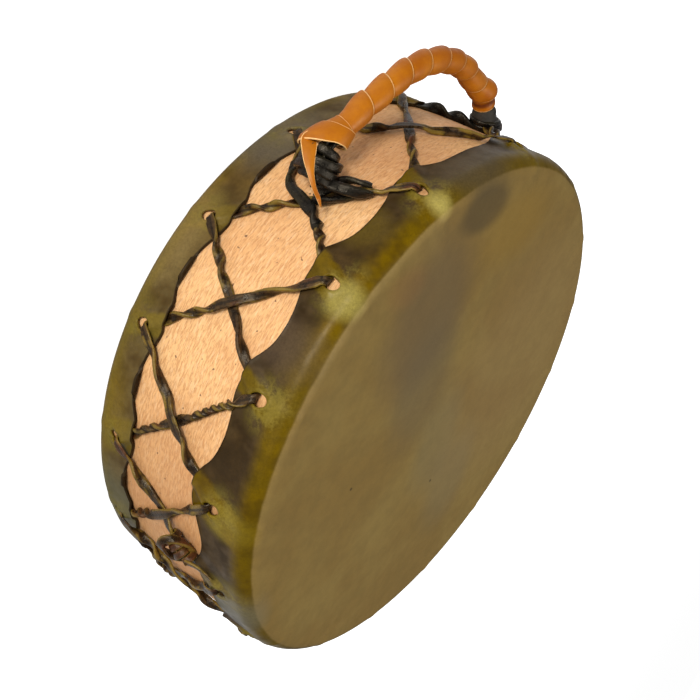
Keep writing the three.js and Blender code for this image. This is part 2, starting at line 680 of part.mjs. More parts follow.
// Left knot: wound down round the strands and back up over itself
function leftKnotGeometry() {
  const inner = PINCHED + COIL_CLEAR + KNOT_THICKNESS / 2;
  const outer = inner + KNOT_THICKNESS + COIL_CLEAR;
  const top = ROOT_TAIL + WRAP_LEFT_START - LEFT_STRIP / 2 - KNOT_TO_WRAP;
  const low = ROOT_TAIL - LEFT_STRIP;
  const collar = top - LEFT_COLLAR_STEP;
  const turnsDown = (top - low) / LEFT_PITCH;
  const turnsUp = (collar - low) / LEFT_PITCH;
  return coilGeometry([
    { distance: top, radius: inner, turns: 0 },
    { distance: low, radius: inner, turns: turnsDown },
    { distance: low, radius: outer, turns: turnsDown + 0.5 },
    { distance: collar, radius: outer, turns: turnsDown + 0.5 + turnsUp },
  ], LEFT_STRIP);
}

// The right end of the wrap, then the cuff, then the right knot, each a small gap below the last
const CUFF_FROM = HANDLE_LENGTH - ROOT_TAIL - WRAP_RIGHT_START + SEAT_GAP;
const CUFF_TO = CUFF_FROM + CUFF_LENGTH;

// Right knot: a short coil between the cuff and the lacing
function rightKnotGeometry() {
  const radius = PINCHED + COIL_CLEAR + KNOT_THICKNESS / 2;
  const top = CUFF_TO + SEAT_GAP + RIGHT_STRIP / 2;
  return coilGeometry([
    { distance: top, radius, turns: 0 },
    { distance: top + RIGHT_TURNS * RIGHT_PITCH, radius, turns: RIGHT_TURNS },
  ], RIGHT_STRIP);
}

// Stiff cuff of hide between the right knot and the wrap
function cuffGeometry() {
  const inner = PINCHED + COIL_CLEAR;
  const outer = inner + CUFF_WALL;
  const outline = [[CUFF_FROM, inner], [CUFF_TO, inner], [CUFF_TO, outer + CUFF_FLARE], [CUFF_FROM, outer]];
  const rings = [];
  for (let i = 0; i < CUFF_SIDES; i += 1) {
    const turn = (2 * Math.PI * i) / CUFF_SIDES;
    rings.push(outline.map(([distance, radius]) => roundHandle(distance, radius, turn).at));
  }
  return loft(rings, null);
}

// Finishes
const BIRCH = { color: 0xe0b184, roughness: 0.6 };
const OLIVE_HIDE = { color: 0x857040, roughness: 0.45 };
const DARK_HIDE = { color: 0x6b5f2a, roughness: 0.45 };
const BROWN_LACE = { color: 0x33261c, roughness: 0.4 };
const BLACK_LACE = { color: 0x15130f, roughness: 0.3 };
const TAN_LEATHER = { color: 0xbe7426, roughness: 0.5 };

const drum = new THREE.Group();

function addPiece(name, geometry, finish) {
  const mesh = new THREE.Mesh(geometry, new THREE.MeshStandardMaterial({ ...finish, metalness: 0 }));
  mesh.name = name;
  drum.add(mesh);
}

addPiece('hoop', hoopGeometry(), BIRCH);
addPiece('front_head', headGeometry(FRONT), OLIVE_HIDE);
addPiece('back_head', headGeometry(BACK), DARK_HIDE);
addPiece('over_lace', laceGeometry(0, true), BROWN_LACE);
addPiece('under_lace', laceGeometry(1, false), BROWN_LACE);

const tieKnot = tieKnotGeometry();
addPiece('tie_off_knot', tieKnot.geometry, BROWN_LACE);

for (let i = 0; i < STRAND_COUNT; i += 1) {
  addPiece(`handle_strand_${i + 1}`, strandGeometry(i), BLACK_LACE);
}

const wrap = wrapGeometry();
const leftKnot = leftKnotGeometry();
const rightKnot = rightKnotGeometry();
addPiece('handle_wrap', wrap.geometry, TAN_LEATHER);
addPiece('left_root_knot', leftKnot.geometry, BLACK_LACE);
addPiece('right_root_knot', rightKnot.geometry, BLACK_LACE);
addPiece('right_cuff', cuffGeometry(), BLACK_LACE);

console.log('least gap of each winding to itself, mm:');
console.log(`tie_off_knot ${tieKnot.gap.toFixed(2)}, handle_wrap ${wrap.gap.toFixed(2)}`);
console.log(`left_root_knot ${leftKnot.gap.toFixed(2)}, right_root_knot ${rightKnot.gap.toFixed(2)}`);

export default drum;
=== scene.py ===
# %% [markdown]
# # A laced hand drum
# The drum is a bent wood hoop with a rawhide head on each face. Two rawhide laces zigzag between the heads
# and pull them tight, and a carrying handle wrapped in a leather strip is lashed to the lacing.
# Every piece is laid over a fixed frame that gives its place and size, so this first cell loads that frame
# and keeps its box. Sizes below are in millimetres, and turn to metres only when a mesh is made.

import math

import bmesh
import bpy
import numpy as np
from mathutils import Matrix, Vector, noise


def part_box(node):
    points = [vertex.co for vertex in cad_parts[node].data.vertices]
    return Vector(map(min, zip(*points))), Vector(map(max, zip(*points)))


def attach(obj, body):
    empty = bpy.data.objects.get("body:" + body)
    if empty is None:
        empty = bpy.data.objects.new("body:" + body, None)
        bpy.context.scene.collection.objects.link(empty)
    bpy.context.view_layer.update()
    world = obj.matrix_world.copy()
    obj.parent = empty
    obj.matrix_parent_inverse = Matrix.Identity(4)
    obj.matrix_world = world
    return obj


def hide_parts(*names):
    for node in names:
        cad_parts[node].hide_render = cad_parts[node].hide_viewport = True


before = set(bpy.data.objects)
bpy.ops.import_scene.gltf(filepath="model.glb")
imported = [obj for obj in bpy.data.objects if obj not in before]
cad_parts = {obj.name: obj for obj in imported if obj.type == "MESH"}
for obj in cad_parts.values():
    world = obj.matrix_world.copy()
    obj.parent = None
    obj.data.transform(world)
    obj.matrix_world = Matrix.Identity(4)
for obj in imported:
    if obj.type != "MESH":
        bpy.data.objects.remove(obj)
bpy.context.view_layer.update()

MM = 0.001
UP = np.array([0.0, 0.0, 1.0])

# %% [markdown]
# ## The camera
# The picture was taken from above the drum's left side with the camera rolled over, so the drum seems to
# stand on its rim. A camera is a place and three directions at right angles. Naming the view direction and
# the picture's upward direction and working out the third keeps the roll, which a "look at" aim would lose.

# %% Camera at the picture's viewing angle
CAMERA_AT = Vector((-405.995, 310.684, 304.972)) * MM
CAMERA_FORWARD = Vector((0.711618, -0.527537, -0.464010))
CAMERA_UP = Vector((0.322185, 0.831945, -0.451735))
CAMERA_LENS = 49.8

camera = bpy.data.objects.new("camera", bpy.data.cameras.new("camera"))
camera.data.lens = CAMERA_LENS
camera.data.sensor_width = 36
camera_right = CAMERA_FORWARD.cross(CAMERA_UP)
turned = Matrix((camera_right, CAMERA_UP, -CAMERA_FORWARD)).transposed().to_4x4()
camera.matrix_world = Matrix.Translation(CAMERA_AT) @ turned
bpy.context.scene.collection.objects.link(camera)
bpy.context.scene.camera = camera

# %% [markdown]
# ## Node helpers
# Materials here are node trees built in code. One short helper adds a node, sets its options and joins or
# sets its inputs, so that a material reads as a list of what it is made of. Colours are written as the
# 0-255 values one would read off a screen and turned to the linear values that a renderer works in.

# %% Helpers for nodes and colours
def linear(red, green, blue):
    """A screen colour as a linear RGBA value."""
    parts = [v / 255 for v in (red, green, blue)]
    return (*[v / 12.92 if v <= 0.04045 else ((v + 0.055) / 1.055) ** 2.4 for v in parts], 1.0)


def feed(tree, socket, value):
    """Joins an output to an input, or sets the input to a plain value."""
    if isinstance(value, bpy.types.NodeSocket):
        tree.links.new(value, socket)
    else:
        socket.default_value = value


def add_node(tree, kind, options=None, **inputs):
    """A new node. An input is named by its socket, with _ for a space, and takes a value or a socket."""
    made = tree.nodes.new(kind)
    for name, value in (options or {}).items():
        setattr(made, name, value)
    for name, value in inputs.items():
        wanted = name.replace("_", " ")
        feed(tree, next(s for s in made.inputs if s.name == wanted and s.enabled), value)
    return made


def math_node(tree, operation, first, second=0.0, third=0.0):
    """A Math node's output."""
    made = tree.nodes.new("ShaderNodeMath")
    made.operation = operation
    for socket, value in zip(made.inputs, (first, second, third)):
        feed(tree, socket, value)
    return made.outputs[0]


def vector_math(tree, operation, first, second=None, scale=None):
    """A Vector Math node's output."""
    made = tree.nodes.new("ShaderNodeVectorMath")
    made.operation = operation
    for name, value in ((0, first), (1, second), ("Scale", scale)):
        if value is not None:
            feed(tree, made.inputs[name], value)
    return made.outputs["Value" if operation == "LENGTH" else "Vector"]


def mix_colours(tree, share, first, second, blend="MIX"):
    """A Mix node's colour, from first at share 0 to second at share 1."""
    made = tree.nodes.new("ShaderNodeMix")
    made.data_type = "RGBA"
    made.blend_type = blend
    sockets = (made.inputs[0], made.inputs[6], made.inputs[7])
    for socket, value in zip(sockets, (share, first, second)):
        feed(tree, socket, value)
    return made.outputs[2]


def lay_over(tree, under, colour, mask, share):
    """Lays a colour over another where a mask is, at most by a share."""
    return mix_colours(tree, math_node(tree, "MULTIPLY", mask, share), under, colour)


print("mid grey is", round(linear(128, 128, 128)[0], 3), "in linear light")

# %% [markdown]
# A finish is built from masks, values from 0 to 1 that say where one colour gives way to the next. Most are
# noise through a ramp, and a value that is kept on the mesh's own points lets a finish follow the shape.

# %% Helpers for masks, noise and materials
def ramp(tree, value, low, high):
    """0 below low, 1 above high and smooth between."""
    made = add_node(tree, "ShaderNodeMapRange", {"interpolation_type": "SMOOTHSTEP"},
                    Value=value, From_Min=low, From_Max=high)
    return made.outputs[0]


def noise_of(tree, vector, scale, detail=4.0, roughness=0.55, distortion=0.0):
    """A Noise Texture's value at a vector."""
    made = add_node(tree, "ShaderNodeTexNoise", {"noise_dimensions": "3D"}, Vector=vector, Scale=scale,
                    Detail=detail, Roughness=roughness, Distortion=distortion)
    return made.outputs[0]


def attribute(tree, name, output="Fac"):
    """A value kept on the mesh's own points."""
    return add_node(tree, "ShaderNodeAttribute", {"attribute_name": name}).outputs[output]


def add_sockets(tree, in_out, kind, *names):
    """Gives a group or tree named inputs or outputs of one kind."""
    for name in names:
        tree.interface.new_socket(name=name, in_out=in_out, socket_type="NodeSocket" + kind)


def new_material(name):
    """An empty material with its tree, its Principled BSDF and the Object coordinates."""
    made = bpy.data.materials.new(name)
    made.use_nodes = True
    tree = made.node_tree
    shader = tree.nodes["Principled BSDF"]
    where = tree.nodes.new("ShaderNodeTexCoord").outputs["Object"]
    return made, tree, shader, where


def set_surface(tree, shader, colour, roughness, level, tint=(1, 1, 1, 1)):
    """Joins or sets what gives a surface its colour and gloss."""
    tree.links.new(colour, shader.inputs["Base Color"])
    feed(tree, shader.inputs["Roughness"], roughness)
    shader.inputs["Specular IOR Level"].default_value = level
    shader.inputs["Specular Tint"].default_value = tint


def add_bump(tree, shader, height, distance, strength=1.0):
    """Joins a height to the shader's normal. Distance is in metres."""
    bump = add_node(tree, "ShaderNodeBump", Height=height, Distance=distance, Strength=strength)
    tree.links.new(bump.outputs[0], shader.inputs["Normal"])


print("helpers for materials are ready")

# %% [markdown]
# ## Studio
# The picture is a cut-out on white. A big pale floor gives the drum something to lie on and keeps its
# shadow. It is lifted to white only for the rays that the eye sees, so the white never adds light to the
# drum.

# %% World and floor
FLOOR_HALF = 6.0
FLOOR_DROP = 0.4 * MM
WORLD_LEVEL = 0.17
FLOOR_LIFT = 0.85
FLOOR_GREY = 0.8

view = bpy.context.scene.view_settings
view.view_transform = "Standard"


def seen_by_eye(tree):
    """1 on rays from the camera and through glass, and 0 on rays that carry light."""
    path = tree.nodes.new("ShaderNodeLightPath")
    return math_node(tree, "MAXIMUM", path.outputs["Is Camera Ray"], path.outputs["Is Transmission Ray"])


def make_world():
    """A world that lights the drum softly from all sides, and is plain white to the camera."""
    world = bpy.data.worlds.new("studio")
    bpy.context.scene.world = world
    world.use_nodes = True
    tree = world.node_tree
    light = tree.nodes["Background"]
    light.inputs["Color"].default_value = (1, 1, 1, 1)
    light.inputs["Strength"].default_value = WORLD_LEVEL
    white = add_node(tree, "ShaderNodeBackground", Color=(1, 1, 1, 1), Strength=1.0)
    path = tree.nodes.new("ShaderNodeLightPath")
    chosen = tree.nodes.new("ShaderNodeMixShader")
    tree.links.new(path.outputs["Is Camera Ray"], chosen.inputs[0])
    tree.links.new(light.outputs[0], chosen.inputs[1])
    tree.links.new(white.outputs[0], chosen.inputs[2])
    tree.links.new(chosen.outputs[0], tree.nodes["World Output"].inputs["Surface"])


def make_floor():
    """A big matt square under the drum, lifted to white for the camera alone."""
    mesh = bpy.data.meshes.new("floor")
    corners = [(-1, -1), (1, -1), (1, 1), (-1, 1)]
    mesh.from_pydata([(x * FLOOR_HALF, y * FLOOR_HALF, -FLOOR_DROP) for x, y in corners], [], [(0, 1, 2, 3)])
    floor = bpy.data.objects.new("floor", mesh)
    bpy.context.scene.collection.objects.link(floor)
    material = bpy.data.materials.new("pale_floor")
    material.use_nodes = True
    tree = material.node_tree
    tree.nodes.remove(tree.nodes["Principled BSDF"])
    matt = add_node(tree, "ShaderNodeBsdfDiffuse", Color=(FLOOR_GREY, FLOOR_GREY, FLOOR_GREY, 1))
    lift = math_node(tree, "MULTIPLY", seen_by_eye(tree), FLOOR_LIFT)
    glow = add_node(tree, "ShaderNodeEmission", Color=(1, 1, 1, 1), Strength=lift)
    both = tree.nodes.new("ShaderNodeAddShader")
    tree.links.new(matt.outputs[0], both.inputs[0])
    tree.links.new(glow.outputs[0], both.inputs[1])
    tree.links.new(both.outputs[0], tree.nodes["Material Output"].inputs["Surface"])
    mesh.materials.append(material)


make_world()
make_floor()
print("the floor is", 2 * FLOOR_HALF, "m wide")

# %% [markdown]
# Three plain square lamps stand in for softboxes.

# %% Lamps
LAMP_AIM = (0, 0, 0.05)
LAMPS = {
    "key_softbox": {"at": (-1.05, 0.85, 0.35), "size": 0.35, "watts": 13.8},
    "top_softbox": {"at": (0.25, -0.1, 1.5), "size": 0.8, "watts": 14},
    "side_softbox": {"at": (-1.3, 0.1, 0.7), "size": 0.8, "watts": 2.0},
}


def add_softbox(name, at, size, watts):
    """A square lamp at a place in metres, facing the drum."""
    lamp = bpy.data.lights.new(name, "AREA")
    lamp.energy = watts
    lamp.size = size
    box = bpy.data.objects.new(name, lamp)
    box.location = at
    box.rotation_euler = (Vector(LAMP_AIM) - Vector(at)).to_track_quat("-Z", "Y").to_euler()
    bpy.context.scene.collection.objects.link(box)


for name, lamp in LAMPS.items():
    add_softbox(name, **lamp)
print("the studio has", len(LAMPS), "lamps")

# %% [markdown]
# ## The drum's main sizes
# These follow from the frame: the hoop's box gives its radius and width, and the heads' boxes give the
# drum's height. What the hide and lace add is the same on every drum of this build.

# %% Sizes of the hoop, hide and lace
SEAT_GAP = 0.3
HIDE_THICKNESS = 1.4
HOOP_WALL = 8.0
HOOP_EDGE_ROUND = 8.0
HOOP_INNER_CHAMFER = 0.8

hoop_low, hoop_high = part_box("hoop")
HOOP_RADIUS = hoop_high.x / MM
HOOP_WIDTH = (hoop_high.z - hoop_low.z) / MM
DRUM_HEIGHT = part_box("front_head")[1].z / MM
MIDDLE = DRUM_HEIGHT / 2
HEAD_STACK = SEAT_GAP + HIDE_THICKNESS
SKIN_RADIUS = HOOP_RADIUS + HEAD_STACK
print("hoop radius", round(HOOP_RADIUS, 2), "and width", round(HOOP_WIDTH, 2))
print("drum height", round(DRUM_HEIGHT, 2))

# %% [markdown]
# ## Places and soft forms
# Nearly everything on a drum has an angle round its axis, a distance from it and a level, so one helper turns
# these into a point. A smooth step eases one form into the next, and soft noise keeps hide from looking
# moulded. The curve takes its points' spacing into account, so it doesn't overshoot them.

# %% Helpers for places, easing, noise and curves
SEED_SHIFT = (17.3, 5.1, 9.7)


def polar(degrees, radius, level):
    """Points at angles about the drum's axis."""
    angle = np.radians(np.asarray(degrees, float))
    shape = np.broadcast(angle, radius, level).shape
    parts = (radius * np.cos(angle), radius * np.sin(angle), level)
    return np.stack([np.broadcast_to(p, shape) for p in parts], axis=-1)


def unit(vectors):
    """Vectors brought to a length of 1."""
    return vectors / np.linalg.norm(vectors, axis=-1, keepdims=True)


def smooth_share(value, low, high):
    """0 below low, 1 above high and smooth between, on arrays."""
    share = np.clip((np.asarray(value, float) - low) / (high - low), 0, 1)
    return share * share * (3 - 2 * share)


def lumps(points, size, seed):
    """Soft random heights from -1 to 1, with lumps of a size in mm. The same points give the same heights."""
    shift = Vector([seed * v for v in SEED_SHIFT])
    flat = np.asarray(points, float).reshape(-1, 3)
    values = [noise.noise(Vector(p) / size + shift) for p in flat]
    return np.array(values).reshape(np.shape(points)[:-1])


def curve_through(points, steps):
    """A smooth curve through points, which takes their spacing into account."""
    points = np.asarray(points, float)
    known = np.vstack([2 * points[0] - points[1], points, 2 * points[-1] - points[-2]])
    share = (np.arange(steps) / steps)[:, None]
    parts = []
    for i in range(1, len(known) - 2):
        before, here, there, after = known[i - 1:i + 3]
        a, b, c = (math.sqrt(np.linalg.norm(v)) for v in (here - before, there - here, after - there))
        leave = b * ((here - before) / a - (there - before) / (a + b) + (there - here) / b)
        arrive = b * ((there - here) / b - (after - here) / (b + c) + (after - there) / c)
        cube, square = share ** 3, share ** 2
        parts.append((2 * cube - 3 * square + 1) * here + (cube - 2 * square + share) * leave
                     + (3 * square - 2 * cube) * there + (cube - square) * arrive)
    return np.vstack(parts + [points[-1:]])


print("the hoop's top at the handle's side:", polar(90, HOOP_RADIUS, MIDDLE).round(1))

# %% [markdown]
# Each piece is one mesh with its place in its points, so that its object stays at the origin and a pattern
# can't slide on it. Dressing a piece gives it its finish and says two things to the frame: the body that it
# moves with, and the plain solid that it stands for.

# %% Helpers for meshes and pieces
def make_piece(name, points, faces, attributes=None, smooth=True):
    """A mesh object from points in mm, with its place in its mesh."""
    mesh = bpy.data.meshes.new(name)
    mesh.from_pydata((np.asarray(points).reshape(-1, 3) * MM).tolist(), [], faces)
    for label, values in (attributes or {}).items():
        kept = mesh.attributes.new(label, "FLOAT", "POINT")
        kept.data.foreach_set("value", np.asarray(values, np.float32).ravel())
    mesh.update()
    if smooth:
        mesh.shade_smooth()
    piece = bpy.data.objects.new(name, mesh)
    bpy.context.scene.collection.objects.link(piece)
    return piece


def face_outwards(piece):
    """Turns a closed mesh's faces outwards."""
    shell = bmesh.new()
    shell.from_mesh(piece.data)
    bmesh.ops.recalc_face_normals(shell, faces=shell.faces)
    shell.to_mesh(piece.data)
    shell.free()


def settle(piece):
    """Bakes a piece's modifiers into its mesh and takes them off."""
    shown = piece.evaluated_get(bpy.context.evaluated_depsgraph_get())
    baked = bpy.data.meshes.new_from_object(shown)
    piece.modifiers.clear()
    old = piece.data
    piece.data = baked
    baked.name = piece.name
    bpy.data.meshes.remove(old)
    return piece


def dress(piece, material, body, slot, *nodes):
    """Gives a piece its material, its body and the frame nodes it stands for. The slot is not used."""
    piece.data.materials.clear()
    piece.data.materials.append(material)
    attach(piece, body)
    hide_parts(*nodes)
    print(piece.name, "has", len(piece.data.polygons), "faces")


# %% [markdown]
# ## The hoop
# The hoop is a thin plank bent round until its ends meet, with its outer edges rounded so that they don't
# cut the hide. Its shape follows a rule, one section carried round a circle, which is what Geometry Nodes'
# Curve to Mesh does. The tree below takes the hoop's sizes as named inputs, rounds the section's outer
# corners more than its inner ones, and keeps each point's place in the section, so that the mesh can be set
# exactly on the radius that the frame gives.

# %% Helpers for Geometry Nodes trees
def store(tree, geometry, name, value, kind="FLOAT_VECTOR"):
    """Keeps a value on each point under a name, and gives the geometry on."""
    options = {"data_type": kind, "domain": "POINT"}
    made = add_node(tree, "GeometryNodeStoreNamedAttribute", options, Name=name)
    tree.links.new(geometry, made.inputs["Geometry"])
    tree.links.new(value, next(s for s in made.inputs if s.name == "Value" and s.enabled))
    return made.outputs[0]


def named(tree, name):
    """A vector that was kept on each point under a name."""
    made = add_node(tree, "GeometryNodeInputNamedAttribute", {"data_type": "FLOAT_VECTOR"}, Name=name)
    return made.outputs["Attribute"]


def close_tree(tree, geometry, material):
    """Ends a tree: instances become real, and the geometry gets its material."""
    whole = add_node(tree, "GeometryNodeRealizeInstances", Geometry=geometry)
    painted = add_node(tree, "GeometryNodeSetMaterial", Geometry=whole.outputs[0], Material=material)
    tree.links.new(painted.outputs[0], tree.nodes.new("NodeGroupOutput").inputs[0])
    return tree


def run_tree(name, tree, values, mesh=None):
    """Makes an object from a node tree, with its inputs set by identifier, and bakes it to a mesh."""
    piece = bpy.data.objects.new(name, mesh or bpy.data.meshes.new(name))
    bpy.context.scene.collection.objects.link(piece)
    modifier = piece.modifiers.new("build", "NODES")
    modifier.node_group = tree
    sockets = {s.name: s.identifier for s in tree.interface.items_tree if s.in_out == "INPUT"}
    for label, value in values.items():
        modifier[sockets[label]] = value
    settle(piece)
    face_outwards(piece)
    piece.data.shade_smooth()
    return piece


print("helpers for trees are ready")

# %% [markdown]
# The section is a rectangle whose fillets depend on which side of the wall a corner is. Curve to Mesh may
# turn the section as it goes, so the last steps put every point on its own radius and level.

# %% A node tree that bends a plank into a hoop
CORNER_POINTS = 8


def hoop_tree():
    """A tree that carries a plank's rounded section round a circle."""
    tree = bpy.data.node_groups.new("bent_hoop", "GeometryNodeTree")
    add_sockets(tree, "OUTPUT", "Geometry", "Geometry")
    add_sockets(tree, "INPUT", "Float", "Radius", "Width", "Wall", "Edge Round", "Inner Chamfer", "Middle")
    add_sockets(tree, "INPUT", "Int", "Sides")
    add_sockets(tree, "INPUT", "Material", "Material")
    given = tree.nodes.new("NodeGroupInput").outputs
    circle = add_node(tree, "GeometryNodeCurvePrimitiveCircle",
                      Resolution=given["Sides"], Radius=given["Radius"])
    place = tree.nodes.new("GeometryNodeInputPosition").outputs[0]
    path = store(tree, circle.outputs["Curve"], "centre", place)
    plank = add_node(tree, "GeometryNodeCurvePrimitiveQuadrilateral",
                     Width=given["Wall"], Height=given["Width"])
    parts = add_node(tree, "ShaderNodeSeparateXYZ", Vector=place)
    is_outer = math_node(tree, "GREATER_THAN", parts.outputs["X"], 0.0)
    extra = math_node(tree, "SUBTRACT", given["Edge Round"], given["Inner Chamfer"])
    corner = math_node(tree, "MULTIPLY_ADD", is_outer, extra, given["Inner Chamfer"])
    rounded = add_node(tree, "GeometryNodeFilletCurve", {"mode": "POLY"}, Curve=plank.outputs[0],
                       Count=CORNER_POINTS, Radius=corner, Limit_Radius=True)
    section = store(tree, rounded.outputs[0], "section", place)
    bent = add_node(tree, "GeometryNodeCurveToMesh", Curve=path, Profile_Curve=section)
    outward = vector_math(tree, "NORMALIZE", named(tree, "centre"))
    across = add_node(tree, "ShaderNodeSeparateXYZ", Vector=named(tree, "section"))
    half_wall = math_node(tree, "MULTIPLY", given["Wall"], 0.5)
    inner = math_node(tree, "SUBTRACT", given["Radius"], half_wall)
    radius = math_node(tree, "ADD", inner, across.outputs["X"])
    level = math_node(tree, "ADD", given["Middle"], across.outputs["Y"])
    lift = add_node(tree, "ShaderNodeCombineXYZ", Z=level)
    final = vector_math(tree, "ADD", vector_math(tree, "SCALE", outward, scale=radius), lift.outputs[0])
    placed = add_node(tree, "GeometryNodeSetPosition", Geometry=bent.outputs[0], Position=final)
    return close_tree(tree, placed.outputs[0], given["Material"])


HOOP_TREE = hoop_tree()
print("the hoop's tree has", len(HOOP_TREE.nodes), "nodes")

# %% [markdown]
# ## Birch
# The wood is pale and peachy. Up close it shows short fine flecks that run along the bend, soft warmer and
# cooler areas, and a few tiny dark specks. The grain has to follow the bend, so a small node group turns a
# place into its distance round the drum, its height and its radius, and the flecks are a noise stretched
# along the first of these.

# %% A node group that unrolls the drum, and a soft patch for stains and painted shade
def unrolled_group():
    """A place's distance round the drum, height and radius, in metres. Its seam is on the far side."""
    group = bpy.data.node_groups.new("unrolled", "ShaderNodeTree")
    add_sockets(group, "INPUT", "Vector", "Place")
    add_sockets(group, "OUTPUT", "Vector", "Unrolled")
    given = group.nodes.new("NodeGroupInput")
    parts = add_node(group, "ShaderNodeSeparateXYZ", Vector=given.outputs["Place"])
    back_x = math_node(group, "MULTIPLY", parts.outputs["X"], -1.0)
    angle = math_node(group, "ARCTAN2", parts.outputs["Y"], back_x)
    arc = math_node(group, "MULTIPLY", angle, HOOP_RADIUS * MM)
    squares = [math_node(group, "POWER", parts.outputs[axis], 2.0) for axis in "XY"]
    radius = math_node(group, "SQRT", math_node(group, "ADD", *squares))
    flat = add_node(group, "ShaderNodeCombineXYZ", X=arc, Y=parts.outputs["Z"], Z=radius)
    group.links.new(flat.outputs[0], group.nodes.new("NodeGroupOutput").inputs["Unrolled"])
    return group


UNROLLED = unrolled_group()


def unrolled(tree, where):
    """The unrolled place, which runs along the bend in X and across it in Y."""
    made = tree.nodes.new("ShaderNodeGroup")
    made.node_tree = UNROLLED
    tree.links.new(where, made.inputs["Place"])
    return made.outputs["Unrolled"]


CLOUD_WOBBLE = 0.7
CLOUD_BORDER = 1.35


def cloud(tree, where, wobble, at, radii, soft):
    """A soft patch for a stain, painted shade or a painted highlight: 1 inside an oval round a place in mm,
    fading to 0 at its noisy border.
    """
    centred = vector_math(tree, "SUBTRACT", where, [v * MM for v in at])
    scaled = vector_math(tree, "MULTIPLY", centred, [1 / (r * MM) for r in radii])
    away = vector_math(tree, "LENGTH", scaled)
    rough = math_node(tree, "MULTIPLY_ADD", wobble, CLOUD_WOBBLE, away)
    inside = ramp(tree, rough, CLOUD_BORDER - soft, CLOUD_BORDER + soft)
    return math_node(tree, "SUBTRACT", 1.0, inside)


print("unrolled, the drum is", round(2 * math.pi * HOOP_RADIUS), "mm long")

# %% [markdown]
# The grain is three layers of stretched noise, warm streaks, pale streaks and dark flecks, so a table holds
# them and a loop lays them. The warm streaks also drive a very low bump, which breaks up the shine.

# %% The birch's layers, and the hoop
GRAIN = {
    "streaks": {"stretch": (290, 1500, 300), "detail": 5, "low": 0.45, "high": 0.64, "share": 0.64,
                "colour": (194, 132, 78)},
    "pale": {"stretch": (230, 1100, 260), "detail": 4, "low": 0.5, "high": 0.68, "share": 0.5,
             "colour": (244, 204, 156)},
    "flecks": {"stretch": (330, 1900, 400), "detail": 2, "low": 0.62, "high": 0.74, "share": 0.7,
               "colour": (164, 104, 56)},
}
# Painted shade on the birch: each entry is an angle, the oval's radii in mm and how strongly it darkens.
PAINTED_WOOD_SHADES = [(101, (30, 20, 40), 0.35), (192, (30, 60, 60), 0.5)]
GRAIN_RELIEF = 0.12 * MM
HOOP_SIDES = 288


def birch():
    """Pale wood with fine grain along the bend, two soft patches of painted shade and a few dark specks."""
    material, tree, shader, where = new_material("birch")
    flat = unrolled(tree, where)
    areas = ramp(tree, noise_of(tree, flat, 28, detail=3), 0.35, 0.65)
    base = mix_colours(tree, areas, linear(238, 185, 125), linear(226, 170, 112))
    grained, masks = base, {}
    for name, layer in GRAIN.items():
        stretched = vector_math(tree, "MULTIPLY", flat, layer["stretch"])
        masks[name] = ramp(tree, noise_of(tree, stretched, 1.0, layer["detail"]), layer["low"], layer["high"])
        grained = lay_over(tree, grained, linear(*layer["colour"]), masks[name], layer["share"])
    drift = noise_of(tree, where, 14, detail=3)
    # Painted shade: the birch is darkened in two soft patches, under the handle at 101 degrees and at 192
    # degrees.
    for angle, radii, strength in PAINTED_WOOD_SHADES:
        mask = cloud(tree, where, drift, polar(angle, HOOP_RADIUS, MIDDLE), radii, 0.7)
        grained = lay_over(tree, grained, linear(190, 132, 84), mask, strength)
    specks = ramp(tree, noise_of(tree, where, 460, detail=0), 0.83, 0.86)
    grained = lay_over(tree, grained, linear(96, 62, 40), specks, 0.8)
    set_surface(tree, shader, grained, 0.55, 0.3)
    add_bump(tree, shader, masks["streaks"], GRAIN_RELIEF)
    return material


BIRCH = birch()
hoop_values = {
    "Radius": HOOP_RADIUS * MM, "Width": HOOP_WIDTH * MM, "Wall": HOOP_WALL * MM, "Middle": MIDDLE * MM,
    "Edge Round": HOOP_EDGE_ROUND * MM, "Inner Chamfer": HOOP_INNER_CHAMFER * MM, "Sides": HOOP_SIDES,
    "Material": BIRCH,
}
hoop_piece = run_tree("bent_hoop", HOOP_TREE, hoop_values)
dress(hoop_piece, BIRCH, "drum", "hoop_wood", "hoop")
print("hoop box in mm:", [round(v / MM, 2) for v in hoop_piece.dimensions])

# %% [markdown]
# ## Where the holes are
# Each head has sixteen holes, and a hole in one head faces a hole in the other across the hoop. They were
# punched by eye, so each column strays a little from an even spacing and each hole from an even depth. A
# smooth curve through these values gives the depth at any angle.

# %% Columns and hole depths
COLUMN_COUNT = 16
FIRST_COLUMN_ANGLE = 84
COLUMN_STRAY = [-5.5, 3.4, 3.9, 3.4, 3.4, 1.4, 0.9, 0.4, -1.1, -1.6, -2.1, -2.6, -4.1, -5.6, -6.6, -7.6]
FRONT_DEPTH_STRAY = [-0.9, -1.5, 0.2, 1.9, 8, 2.5, 1.5, 0, 0.5, -0.5, 0, 0.5, -0.5, 0, 0.5, -0.5]
BACK_DEPTH_STRAY = [0, 1, 0.5, -0.6, 1.5, 0, 0.5, -0.5, 0, 0.5, -0.5, 0, 0.5, 0, -0.5, 0]
HOLE_RADIUS = 4.25

FRONT = {"name": "front_head", "face": DRUM_HEIGHT, "up": 1, "depth": 16.5, "stray": FRONT_DEPTH_STRAY,
         "margin": 13.5, "scallop": 6.5}
BACK = {"name": "back_head", "face": 0.0, "up": -1, "depth": 16.5, "stray": BACK_DEPTH_STRAY,
        "margin": 11.5, "scallop": 5.5}


def column_angle(k):
    """The angle of a column of holes. Columns past the last one go on into the next turn."""
    home = k % COLUMN_COUNT
    return FIRST_COLUMN_ANGLE + home * 360 / COLUMN_COUNT + COLUMN_STRAY[home] + 360 * (k // COLUMN_COUNT)


def hole_depth(head, k):
    """How far a hole's middle is below its head's face."""
    return head["depth"] + head["stray"][k % COLUMN_COUNT]


